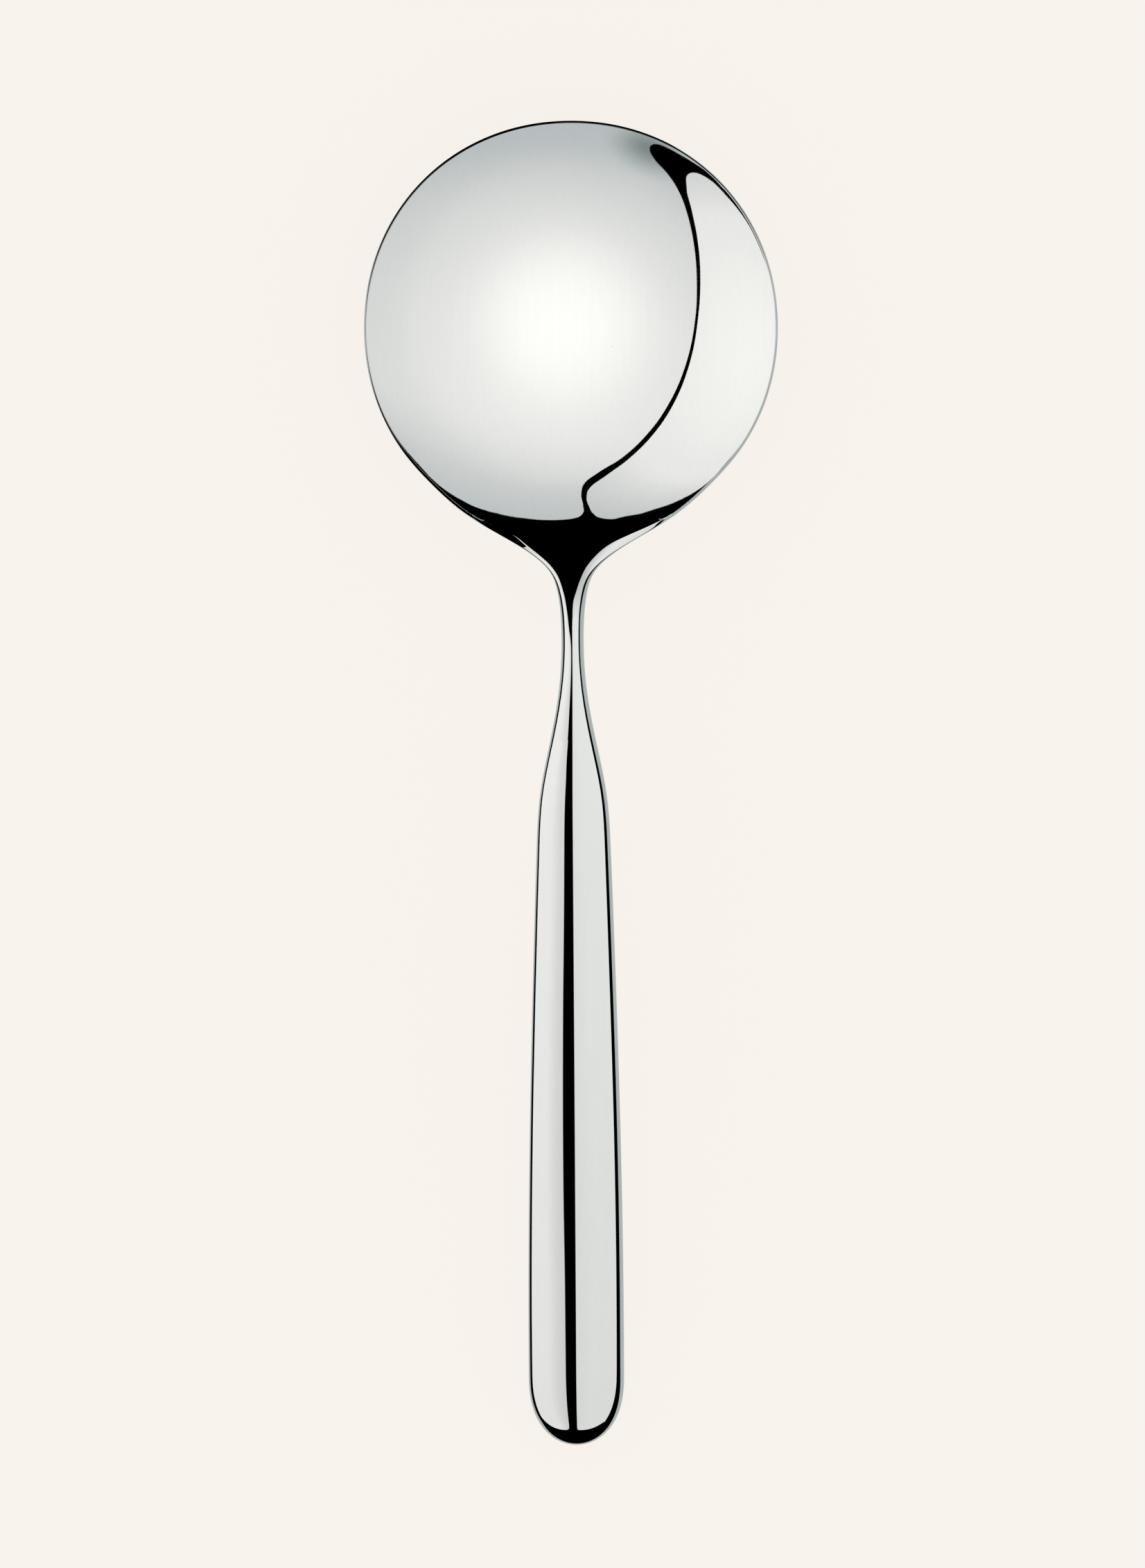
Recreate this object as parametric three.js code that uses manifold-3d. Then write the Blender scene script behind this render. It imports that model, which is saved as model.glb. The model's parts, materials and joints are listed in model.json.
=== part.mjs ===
// Serving spoon with a round bowl, a slim neck and a hollow, filled handle. Millimetres, +Z up.
// X runs across the spoon, Y runs along it to the tip of the bowl, and Z = 0 is the table it rests on.
import * as THREE from 'three';
import { mergeVertices } from 'three/addons/utils/BufferGeometryUtils.js';
import Module from 'manifold-3d';

// Sizes in plan
const OVERALL_LENGTH = 250;
const BOWL_WIDTH = 78;
const BOWL_SQUARENESS = 2.06; // power of the bowl's rounded outline, 2 being a circle
const HANDLE_WIDTH = 18;
const NECK_WIDTH = 4.25;
const BUTT_LENGTH = 13.5; // length of the rounded end of the handle
const BUTT_POWER = 2.5;
const LIP_LENGTH = 23; // from the middle of the bowl to where the lip leaves the bowl's outline
const ROOT_LENGTH = 29; // from there to where the neck is fully oval
const NECK_LENGTH = 26; // from there to the mouth of the handle
const SHOULDER_LENGTH = 20; // from the mouth to where the handle is as wide as its shoulder

// Sizes from the side
const BOWL_DEPTH = 12.5;
const BOWL_WALL = 1.8;
const RIM_ROUND = 0.5; // how far the bevel reaches in from the rim
const RIM_POWER = 1.1; // 1 being a plain bevel and 2 a half round
const REST_FLAT_DEPTH = 0.25; // how much of the bowl's round underside is worn flat to rest on
const NECK_HEIGHT = 20; // middle of the neck above the table at its highest
const NECK_THICKNESS = 5;
const HANDLE_THICKNESS = 8.2;

// Joints
const WELD_WIDTH = 0.6;
const SOLDER = 0.4; // thickness of solder in the mouth and in the side seam
const SHELL_WALL = 0.8;
const TANG_WIDTH = 4.6;
const TANG_THICKNESS = 2;
const TANG_LENGTH = 74;
const TANG_NOTCH = 0.7;
const FILLER_CLEARANCE = 0.3;

// Fineness of the meshes
const RIM_STEPS = 60;
const LIP_STEPS = 18;
const SECTION_STEPS = 16;
const HANDLE_ROWS = 16;
const BUTT_STEPS = 12;
const SHELL_STEPS = 7;

const between = (from, to, share) => from + (to - from) * share;
const TIP_Y = OVERALL_LENGTH / 2;
const BUTT_Y = -OVERALL_LENGTH / 2;
const BOWL_RADIUS = BOWL_WIDTH / 2;
const BOWL_Y = TIP_Y - BOWL_RADIUS;
const LIP_Y = BOWL_Y - LIP_LENGTH;
const NECK_ROOT_Y = LIP_Y - ROOT_LENGTH;
const PLAIN_WALL_Y = between(LIP_Y, NECK_ROOT_Y, 0.17);
const LIP_ROUND_Y = between(LIP_Y, NECK_ROOT_Y, 0.38); // where the thin lip starts to round into the neck
const WELD_Y = between(LIP_Y, NECK_ROOT_Y, 0.467);
const MOUTH_Y = NECK_ROOT_Y - NECK_LENGTH;
const CREST_Y = between(MOUTH_Y, NECK_ROOT_Y, 0.3); // where the neck is highest
const SHOULDER_Y = MOUTH_Y - SHOULDER_LENGTH;
const BUTT_START_Y = BUTT_Y + BUTT_LENGTH;
const BOWL_CURVE = BOWL_RADIUS ** 2 / (2 * BOWL_DEPTH);
const BOWL_FLOOR = BOWL_WALL / 2 - REST_FLAT_DEPTH;

function smooth(from, to, value) {
  const t = Math.min(1, Math.max(0, (value - from) / (to - from)));
  return t * t * t * (t * (6 * t - 15) + 10);
}

// Cubic curve through the stations with even curvature, level or sloped as told at its far end.
function curveThrough(stations, endSlope) {
  const n = stations.length;
  const x = stations.map((p) => p[0]);
  const y = stations.map((p) => p[1]);
  const low = [0];
  const mid = [1];
  const high = [0];
  const right = [0];
  for (let i = 1; i < n - 1; i += 1) {
    const before = x[i] - x[i - 1];
    const after = x[i + 1] - x[i];
    low.push(before);
    mid.push(2 * (before + after));
    high.push(after);
    right.push(6 * ((y[i + 1] - y[i]) / after - (y[i] - y[i - 1]) / before));
  }
  const last = x[n - 1] - x[n - 2];
  low.push(last);
  mid.push(2 * last);
  high.push(0);
  right.push(6 * (endSlope - (y[n - 1] - y[n - 2]) / last));
  for (let i = 1; i < n; i += 1) {
    const share = low[i] / mid[i - 1];
    mid[i] -= share * high[i - 1];
    right[i] -= share * right[i - 1];
  }
  const bend = new Array(n);
  bend[n - 1] = right[n - 1] / mid[n - 1];
  for (let i = n - 2; i >= 0; i -= 1) {
    bend[i] = (right[i] - high[i] * bend[i + 1]) / mid[i];
  }
  return (at) => {
    let i = 0;
    while (i < n - 2 && at > x[i + 1]) {
      i += 1;
    }
    const step = x[i + 1] - x[i];
    const a = (x[i + 1] - at) / step;
    const b = 1 - a;
    const sag = ((a ** 3 - a) * bend[i] + (b ** 3 - b) * bend[i + 1]) * step * step / 6;
    return a * y[i] + b * y[i + 1] + sag;
  };
}

function bowlHalfWidth(y) {
  const share = Math.min(1, Math.abs((y - BOWL_Y) / BOWL_RADIUS));
  return BOWL_RADIUS * (1 - share ** BOWL_SQUARENESS) ** (1 / BOWL_SQUARENESS);
}

function slopeOf(curve, y) {
  const step = 1e-4;
  return (curve(y + step) - curve(y - step)) / (2 * step);
}

// Half width in plan: handle, shoulder, neck and the lip of the bowl. The rounded butt comes on top.
const half = HANDLE_WIDTH / 2;
const neck = NECK_WIDTH / 2;
const lip = bowlHalfWidth(LIP_Y);
const planCurve = curveThrough([
  [BUTT_Y, half * 0.998],
  [between(BUTT_Y, SHOULDER_Y, 0.22), half],
  [between(BUTT_Y, SHOULDER_Y, 0.56), half * 0.942],
  [between(BUTT_Y, SHOULDER_Y, 0.84), half * 0.844],
  [SHOULDER_Y, half * 0.775],
  [between(SHOULDER_Y, MOUTH_Y, 0.5), half * 0.696],
  [MOUTH_Y, neck + half * 0.246],
  [between(MOUTH_Y, NECK_ROOT_Y, 0.385), neck * 1.224],
  [between(MOUTH_Y, NECK_ROOT_Y, 0.827), neck],
  [between(NECK_ROOT_Y, LIP_Y, 0.086), neck * 1.354],
  [between(NECK_ROOT_Y, LIP_Y, 0.224), neck * 2.184],
  [between(NECK_ROOT_Y, LIP_Y, 0.362), lip * 0.296],
  [between(NECK_ROOT_Y, LIP_Y, 0.534), lip * 0.558],
  [between(NECK_ROOT_Y, LIP_Y, 0.759), lip * 0.808],
  [LIP_Y, lip],
], slopeOf(bowlHalfWidth, LIP_Y));
const halfWidth = (y) => (y > LIP_Y ? bowlHalfWidth(y) : planCurve(y));

// Half thickness from the butt to the bowl's wall
const wall = BOWL_WALL / 2;
const stem = NECK_THICKNESS / 2;
const bulk = HANDLE_THICKNESS / 2;
const thickCurve = curveThrough([
  [BUTT_Y, bulk],
  [between(BUTT_Y, SHOULDER_Y, 0.575), bulk * 0.93],
  [SHOULDER_Y, bulk * 0.825],
  [between(SHOULDER_Y, MOUTH_Y, 0.8), stem + bulk * 0.12],
  [between(MOUTH_Y, NECK_ROOT_Y, 0.46), stem],
  [NECK_ROOT_Y, stem * 0.97],
  [between(NECK_ROOT_Y, LIP_Y, 0.276), stem * 0.7],
  [between(NECK_ROOT_Y, LIP_Y, 0.552), wall * 1.2],
  [PLAIN_WALL_Y, wall],
], 0);
const halfThickness = (y) => (y > PLAIN_WALL_Y ? wall : thickCurve(y));

function buttShare(y, length) {
  const t = Math.max(0, (BUTT_START_Y - y) / length);
  return Math.max(0, 1 - t ** BUTT_POWER);
}

// Fall of the handle from the crest of the neck, so that its underside just meets the table
function underside(fall, y) {
  const along = (CREST_Y - y) / (CREST_Y - BUTT_Y);
  return NECK_HEIGHT - fall * along * along - halfThickness(y) * Math.sqrt(buttShare(y, BUTT_LENGTH));
}
let fallLow = 0;
let fallHigh = 2 * NECK_HEIGHT;
for (let turn = 0; turn < 50; turn += 1) {
  const fall = (fallLow + fallHigh) / 2;
  let lowest = Infinity;
  for (let step = 0; step <= 200; step += 1) {
    lowest = Math.min(lowest, underside(fall, BUTT_Y + step * 0.2));
  }
  if (lowest > 0) {
    fallLow = fall;
  } else {
    fallHigh = fall;
  }
}
const HANDLE_FALL = fallLow;
const ARCH = HANDLE_FALL / (CREST_Y - BUTT_Y) ** 2;

// Middle line from the side: dish, rise to the neck, arch of the handle
const RISE_FROM = between(NECK_ROOT_Y, LIP_Y, 0.586);
const RISE_TO = between(NECK_ROOT_Y, MOUTH_Y, 0.308);
function middleLine(y) {
  const dish = [BOWL_FLOOR + (RISE_FROM - BOWL_Y) ** 2 / (2 * BOWL_CURVE), (RISE_FROM - BOWL_Y) / BOWL_CURVE,
    1 / BOWL_CURVE];
  const arch = [NECK_HEIGHT - ARCH * (RISE_TO - CREST_Y) ** 2, -2 * ARCH * (RISE_TO - CREST_Y), -2 * ARCH];
  if (y >= RISE_FROM) {
    return BOWL_FLOOR + (y - BOWL_Y) ** 2 / (2 * BOWL_CURVE);
  }
  if (y <= RISE_TO) {
    return NECK_HEIGHT - ARCH * (y - CREST_Y) ** 2;
  }
  const span = RISE_TO - RISE_FROM;
  const t = (y - RISE_FROM) / span;
  const gap = arch[0] - dish[0] - dish[1] * span - dish[2] * span * span / 2;
  const slope = (arch[1] - dish[1] - dish[2] * span) * span;
  const bend = (arch[2] - dish[2]) * span * span;
  const a = 10 * gap - 4 * slope + bend / 2;
  const b = -15 * gap + 7 * slope - bend;
  const c = 6 * gap - 3 * slope + bend / 2;
  return dish[0] + t * span * (dish[1] + t * span * dish[2] / 2) + t * t * t * (a + t * (b + t * c));
}

// How far the rounding of the edge reaches at (x, y): 0 on the outline, 1 on the plain wall
function edgeShare(x, y) {
  let inside;
  let reach;
  let roundness = 0;
  if (y >= BOWL_Y) {
    const r = Math.hypot(x, y - BOWL_Y);
    inside = r > 0 ? r * (rimReach(x / r, (y - BOWL_Y) / r) - 1) : BOWL_RADIUS;
    reach = RIM_ROUND;
  } else {
    inside = halfWidth(y) - Math.abs(x);
    const tilt = Math.hypot(1, slopeOf(halfWidth, Math.max(y, BUTT_START_Y)));
    roundness = smooth(LIP_ROUND_Y, NECK_ROOT_Y, y);
    reach = RIM_ROUND * tilt * (1 - roundness) + halfWidth(y) * roundness;
  }
  const t = 1 - Math.min(1, Math.max(0, inside / reach));
  const power = between(RIM_POWER, 2, roundness);
  return Math.max(0, 1 - t ** power) ** (1 / power);

  function rimReach(cx, cy) {
    const norm = (Math.abs(cx) ** BOWL_SQUARENESS + Math.abs(cy) ** BOWL_SQUARENESS) ** (1 / BOWL_SQUARENESS);
    return BOWL_RADIUS / norm / Math.hypot(x, y - BOWL_Y);
  }
}

function middle(x, y) {
  return middleLine(y) + smooth(NECK_ROOT_Y, between(NECK_ROOT_Y, LIP_Y, 0.62), y) * x * x / (2 * BOWL_CURVE);
}
const topOf = (x, y) => middle(x, y) + halfThickness(y) * edgeShare(x, y);
const underOf = (x, y) => Math.max(0, middle(x, y) - halfThickness(y) * edgeShare(x, y));

// Collects triangles and gives one closed geometry with merged corners.
class Skin {
  constructor() {
    this.spots = [];
  }

  triangle(a, b, c) {
    const same = (p, q) => p[0] === q[0] && p[1] === q[1] && p[2] === q[2];
    if (!same(a, b) && !same(b, c) && !same(c, a)) {
      this.spots.push(...a, ...b, ...c);
    }
  }

  quad(a, b, c, d) {
    this.triangle(a, b, c);
    this.triangle(a, c, d);
  }

  // Joins two rows of the same number of points.
  strip(first, second) {
    for (let i = 0; i + 1 < first.length; i += 1) {
      this.quad(first[i], first[i + 1], second[i + 1], second[i]);
    }
  }

  // The same with each quad split along its other diagonal, to lie on a strip that faces the other way
  stripOver(first, second) {
    for (let i = 0; i + 1 < first.length; i += 1) {
      this.quad(first[i + 1], second[i + 1], second[i], first[i]);
    }
  }

  geometry() {
    const made = new THREE.BufferGeometry();
    made.setAttribute('position', new THREE.Float32BufferAttribute(this.spots, 3));
    return mergeVertices(made, 1e-5);
  }
}

const closed = (ring) => [...ring, ring[0]];

// Ring of the outside at y: along the top from left to right, then back along the underside
function outsideRing(y) {
  const ring = [];
  const w = halfWidth(y);
  for (let i = 0; i < 2 * SECTION_STEPS; i += 1) {
    const turn = Math.PI * (i / SECTION_STEPS - 0.5);
    const x = i === SECTION_STEPS ? w : i === 0 ? -w : w * Math.sin(turn);
    ring.push([x, y, i <= SECTION_STEPS ? topOf(x, y) : underOf(x, y)]);
  }
  return ring;
}

// Ring of an oval or, with a higher power, of a bar with rounded corners round the middle line
function barRing(y, w, h, power) {
  const ring = [];
  for (let i = 0; i < 2 * SECTION_STEPS; i += 1) {
    const turn = Math.PI * (i / SECTION_STEPS - 0.5);
    const across = i % SECTION_STEPS === 0 ? Math.sign(i - 1) : Math.sin(turn);
    const up = i % SECTION_STEPS === 0 ? 0 : Math.cos(turn);
    const x = w * Math.sign(across) * Math.abs(across) ** (2 / power);
    const z = h * Math.sign(up) * Math.abs(up) ** (2 / power);
    ring.push([x, y, middleLine(y) + z]);
  }
  return ring;
}

// Closes a ring with cross strips between its upper and its lower run.
function capRing(skin, ring, facesTip) {
  const upper = ring.slice(0, SECTION_STEPS + 1);
  const lower = [ring[0], ...ring.slice(SECTION_STEPS + 1).reverse(), ring[SECTION_STEPS]];
  if (facesTip) {
    skin.strip(upper, lower);
  } else {
    skin.strip(lower, upper);
  }
}

// Skin over rings that run from the tip towards the butt
function loft(rings) {
  const skin = new Skin();
  for (let i = 0; i + 1 < rings.length; i += 1) {
    skin.strip(closed(rings[i + 1]), closed(rings[i]));
  }
  capRing(skin, rings[0], true);
  capRing(skin, rings[rings.length - 1], false);
  return skin.geometry();
}

function steps(from, to, count) {
  return Array.from({ length: count + 1 }, (_, i) => (i === count ? to : from + (to - from) * i / count));
}

// Bowl: rays from its middle to the rim, and to the straight edge that meets the weld
function makeBowl() {
  const cutY = WELD_Y + WELD_WIDTH / 2;
  const cutHalf = halfWidth(cutY);
  const edge = [];
  const cutAngle = Math.atan2(cutY - BOWL_Y, cutHalf);
  const turns = [
    ...steps(cutAngle, 0, LIP_STEPS).slice(1),
    ...steps(0, Math.PI, RIM_STEPS).slice(1),
    ...steps(Math.PI, Math.PI - cutAngle, LIP_STEPS).slice(1, -1),
  ];
  edge.push([cutHalf, cutY, false]);
  turns.forEach((angle) => edge.push([...rimPoint(angle), false]));
  edge.push([-cutHalf, cutY, false]);
  const cutStart = edge.length - 1;
  for (let i = 1; i < SECTION_STEPS; i += 1) {
    edge.push([-cutHalf * Math.cos(Math.PI * i / SECTION_STEPS), cutY, true]);
  }
  const lastRing = 1 - RIM_ROUND / BOWL_RADIUS;
  const rings = [0, 0.15, 0.3, 0.45, 0.6, 0.73, 0.84, 0.92, lastRing, 1 - (1 - lastRing) * 0.35, 1];
  const upper = rings.map((f) => edge.map((p) => spot(p, f, topOf)));
  const lower = rings.map((f) => edge.map((p) => spot(p, f, underOf)));
  const skin = new Skin();
  for (let k = 0; k + 1 < rings.length; k += 1) {
    skin.strip(closed(upper[k + 1]), closed(upper[k]));
    skin.strip(closed(lower[k]), closed(lower[k + 1]));
  }
  const outer = rings.length - 1;
  const cutUpper = [...upper[outer].slice(cutStart), upper[outer][0]];
  const cutLower = [...lower[outer].slice(cutStart), lower[outer][0]];
  skin.strip(cutLower, cutUpper);
  return skin.geometry();

  function rimPoint(angle) {
    const cx = Math.cos(angle);
    const cy = Math.sin(angle);
    let near = BOWL_RADIUS * 0.9;
    let far = BOWL_RADIUS * 1.4;
    for (let turn = 0; turn < 50; turn += 1) {
      const r = (near + far) / 2;
      if (Math.abs(r * cx) < halfWidth(BOWL_Y + r * cy)) {
        near = r;
      } else {
        far = r;
      }
    }
    return [near * cx, BOWL_Y + near * cy];
  }

  function spot(p, f, height) {
    const x = p[0] * f;
    const y = f === 1 ? p[1] : BOWL_Y + (p[1] - BOWL_Y) * f;
    if (f === 1 && !p[2]) {
      return [x, y, middle(x, y)];
    }
    return [x, y, height(x, y)];
  }
}

function makeWeld() {
  return loft([outsideRing(WELD_Y + WELD_WIDTH / 2), outsideRing(WELD_Y - WELD_WIDTH / 2)]);
}

// Tang widths along its length, narrowed at each notch so that the filler grips it; grow widens the pocket.
function tangRings(fromY, grow) {
  const endY = MOUTH_Y - TANG_LENGTH - grow;
  const rings = [];
  const notches = [0.3, 0.55, 0.8];
  const notchHalf = 0.03;
  const at = (share) => MOUTH_Y - TANG_LENGTH * share;
  const add = (y, notch) => {
    const w = TANG_WIDTH / 2 - notch + grow;
    rings.push(barRing(y, w, TANG_THICKNESS / 2 + grow, 4));
  };
  add(fromY, 0);
  notches.forEach((share) => {
    add(at(share - 2 * notchHalf), 0);
    add(at(share - notchHalf), TANG_NOTCH);
    add(at(share + notchHalf), TANG_NOTCH);
    add(at(share + 2 * notchHalf), 0);
  });
  add(endY, 0);
  return rings;
}

function makeShank() {
  const rootRings = steps(WELD_Y - WELD_WIDTH / 2, NECK_ROOT_Y, 9).map(outsideRing);
  const neckRings = steps(NECK_ROOT_Y, MOUTH_Y + SOLDER / 2, 8).slice(1).map(outsideRing);
  return loft([...rootRings, ...neckRings, ...tangRings(MOUTH_Y + SOLDER / 2, 0)]);
}

// Points of the handle from its side seam (k = 0) to its spine along the seam path: up the right side from the
// mouth, round the butt and down the left side. inset is taken off all round; lift is half the seam's thickness.
function handleSide(inset, side, lift, mouthY, rows = HANDLE_ROWS) {
  const columns = [];
  const length = BUTT_LENGTH - inset;
  const column = (place) => {
    const points = [];
    for (let k = 0; k <= SHELL_STEPS; k += 1) {
      points.push(place(k));
    }
    columns.push(points);
  };
  const angleAt = (h, k) => {
    const first = Math.acos(Math.min(1, lift / h));
    return first * (1 - k / SHELL_STEPS);
  };
  const straight = (y, sign) => {
    const w = halfWidth(y) - inset;
    const h = halfThickness(y) - inset;
    column((k) => {
      const a = angleAt(h, k);
      return [k === SHELL_STEPS ? 0 : sign * w * Math.sin(a), y, height(middleLine(y) + side * h * Math.cos(a))];
    });
  };
  const height = (z) => Math.max(z, inset);
  const rowYs = steps(mouthY, BUTT_START_Y, rows);
  rowYs.forEach((y) => straight(y, 1));
  for (let i = 1; i < BUTT_STEPS; i += 1) {
    const round = Math.PI * (0.5 - i / BUTT_STEPS);
    column((k) => {
      const h0 = halfThickness(BUTT_START_Y) - inset;
      const a = angleAt(h0, k);
      if (k === SHELL_STEPS) {
        return [0, BUTT_START_Y, height(middleLine(BUTT_START_Y) + side * h0)];
      }
      const out = Math.sin(a);
      const y = BUTT_START_Y - length * (out * Math.cos(round)) ** (2 / BUTT_POWER);
      const w = halfWidth(y) - inset;
      const h = halfThickness(y) - inset;
      const x = 2 * i === BUTT_STEPS ? 0 : w * out * Math.sin(round);
      return [x, y, height(middleLine(y) + side * h * Math.cos(a))];
    });
  }
  rowYs.slice().reverse().forEach((y) => straight(y, -1));
  return columns;
}

const SHELL_MOUTH_Y = MOUTH_Y - SOLDER / 2;

function makeShell(side) {
  const outer = handleSide(0, side, SOLDER / 2, SHELL_MOUTH_Y);
  const inner = handleSide(SHELL_WALL, side, SOLDER / 2, SHELL_MOUTH_Y);
  const skin = new Skin();
  const turned = (a, b) => (side > 0 ? skin.strip(a, b) : skin.strip(b, a));
  for (let i = 0; i + 1 < outer.length; i += 1) {
    turned(outer[i], outer[i + 1]);
    turned(inner[i + 1], inner[i]);
  }
  turned(outer.map((c) => c[0]), inner.map((c) => c[0]));
  const last = outer.length - 1;
  turned(inner[0], outer[0]);
  turned(outer[last], inner[last]);
  return skin.geometry();
}

function makeSeam() {
  const runs = [[0, 1], [SHELL_WALL, 1], [SHELL_WALL, -1], [0, -1]].map(([inset, side]) => (
    handleSide(inset, side, SOLDER / 2, SHELL_MOUTH_Y).map((c) => c[0])
  ));
  const skin = new Skin();
  runs.forEach((run, i) => skin.stripOver(runs[(i + 1) % 4], run));
  const ends = [runs[0].length - 1, 0].map((i) => runs.map((run) => run[i]));
  skin.quad(...ends[0]);
  skin.quad(...ends[1].reverse());
  return skin.geometry();
}

// Ring of solder between the shoulder of the neck and the mouth of the shells
function makeMouthSolder() {
  const ringAt = (y, inset) => barRing(y, halfWidth(y) - inset, halfThickness(y) - inset, 2);
  const tipY = MOUTH_Y + SOLDER / 2;
  const rings = [
    [tipY, 0], [SHELL_MOUTH_Y, 0], [SHELL_MOUTH_Y, SHELL_WALL], [tipY, SHELL_WALL],
  ].map(([y, inset]) => closed(ringAt(y, inset)));
  const skin = new Skin();
  rings.forEach((ring, i) => skin.strip(rings[(i + 1) % 4], ring));
  return skin.geometry();
}

function solid(wasm, geometry) {
  const positions = geometry.attributes.position.array;
  const corners = geometry.index.array;
  return new wasm.Manifold(new wasm.Mesh({
    numProp: 3, vertProperties: new Float32Array(positions), triVerts: new Uint32Array(corners),
  }));
}

function fromSolid(body) {
  const mesh = body.getMesh();
  const made = new THREE.BufferGeometry();
  made.setAttribute('position', new THREE.Float32BufferAttribute(mesh.vertProperties, 3));
  made.setIndex(new THREE.Uint32BufferAttribute(mesh.triVerts, 1));
  return made;
}

// Cement in the handle, with the pocket that the tang lies in
function makeFiller(wasm) {
  const inset = SHELL_WALL + FILLER_CLEARANCE;
  const mouthY = SHELL_MOUTH_Y - FILLER_CLEARANCE;
  const upper = handleSide(inset, 1, 0, mouthY);
  const lower = handleSide(inset, -1, 0, mouthY);
  const skin = new Skin();
  const last = upper.length - 1;
  for (let i = 0; i < last; i += 1) {
    skin.strip(upper[i], upper[i + 1]);
    skin.strip(lower[i + 1], lower[i]);
  }
  skin.strip(lower[0], upper[0]);
  skin.strip(upper[last], lower[last]);
  const pocket = loft(tangRings(MOUTH_Y, FILLER_CLEARANCE));
  return fromSolid(solid(wasm, skin.geometry()).subtract(solid(wasm, pocket)));
}

const wasm = await Module();
wasm.setup();

const steel = { color: 0xd9dbda, roughness: 0.06, metalness: 1 };
const solderLook = { color: 0xcfcfc8, roughness: 0.12, metalness: 1 };
const cement = { color: 0x8d8a82, roughness: 0.9, metalness: 0 };
const group = new THREE.Group();
group.name = 'serving_spoon';

function add(name, geometry, look) {
  const mesh = new THREE.Mesh(geometry, new THREE.MeshStandardMaterial(look));
  mesh.name = name;
  group.add(mesh);
}

add('bowl', makeBowl(), steel);
add('bowl_weld', makeWeld(), steel);
add('neck_shank', makeShank(), steel);
add('mouth_solder', makeMouthSolder(), solderLook);
add('handle_upper_shell', makeShell(1), steel);
add('handle_lower_shell', makeShell(-1), steel);
add('seam_solder', makeSeam(), solderLook);
add('handle_filler', makeFiller(wasm), cement);

export default group;
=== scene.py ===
import json
import math

import bmesh
import bpy
import numpy as np
from mathutils import Matrix, Vector

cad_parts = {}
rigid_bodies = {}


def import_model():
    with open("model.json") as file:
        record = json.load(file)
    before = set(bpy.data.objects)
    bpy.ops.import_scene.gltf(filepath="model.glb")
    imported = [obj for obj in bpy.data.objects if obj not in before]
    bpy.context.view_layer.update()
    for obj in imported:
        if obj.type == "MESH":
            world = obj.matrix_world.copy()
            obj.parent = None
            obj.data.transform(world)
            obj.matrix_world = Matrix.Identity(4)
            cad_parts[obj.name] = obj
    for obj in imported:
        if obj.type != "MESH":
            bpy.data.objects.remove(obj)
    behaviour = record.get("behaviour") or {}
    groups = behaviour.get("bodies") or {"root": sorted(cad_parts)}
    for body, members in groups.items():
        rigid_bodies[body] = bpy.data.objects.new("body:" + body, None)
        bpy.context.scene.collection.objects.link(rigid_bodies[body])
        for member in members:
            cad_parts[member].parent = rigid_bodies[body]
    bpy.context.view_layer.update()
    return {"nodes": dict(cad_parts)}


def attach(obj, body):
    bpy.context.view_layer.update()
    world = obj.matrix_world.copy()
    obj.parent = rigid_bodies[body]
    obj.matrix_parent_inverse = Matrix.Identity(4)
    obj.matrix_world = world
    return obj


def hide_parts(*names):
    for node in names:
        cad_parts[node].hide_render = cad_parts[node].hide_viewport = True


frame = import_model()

bl_info = {
    "name": "Serving Spoon",
    "version": (1, 0, 0),
    "blender": (4, 5, 0),
    "location": "3D View > Sidebar > Spoon",
    "description": "Dresses the serving spoon's CAD frame in polished steel and sets it on a studio table",
    "category": "Add Mesh",
}


def linear(hex_colour):
    """Linear red, green and blue of an sRGB hex colour."""
    levels = [int(hex_colour[i : i + 2], 16) / 255 for i in (0, 2, 4)]
    return tuple(v / 12.92 if v <= 0.04045 else ((v + 0.055) / 1.055) ** 2.4 for v in levels)


def between(start, end, share):
    return start + (end - start) * share


# Sizes, finishes and stage


def length(name, description, default):
    return bpy.props.FloatProperty(
        name=name, description=description, default=default, unit="LENGTH", precision=5
    )


def colour(name, description, hex_colour):
    return bpy.props.FloatVectorProperty(
        name=name, description=description, default=linear(hex_colour), subtype="COLOR", min=0, max=1
    )


def factor(name, description, default):
    return bpy.props.FloatProperty(name=name, description=description, default=default, min=0)


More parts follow.
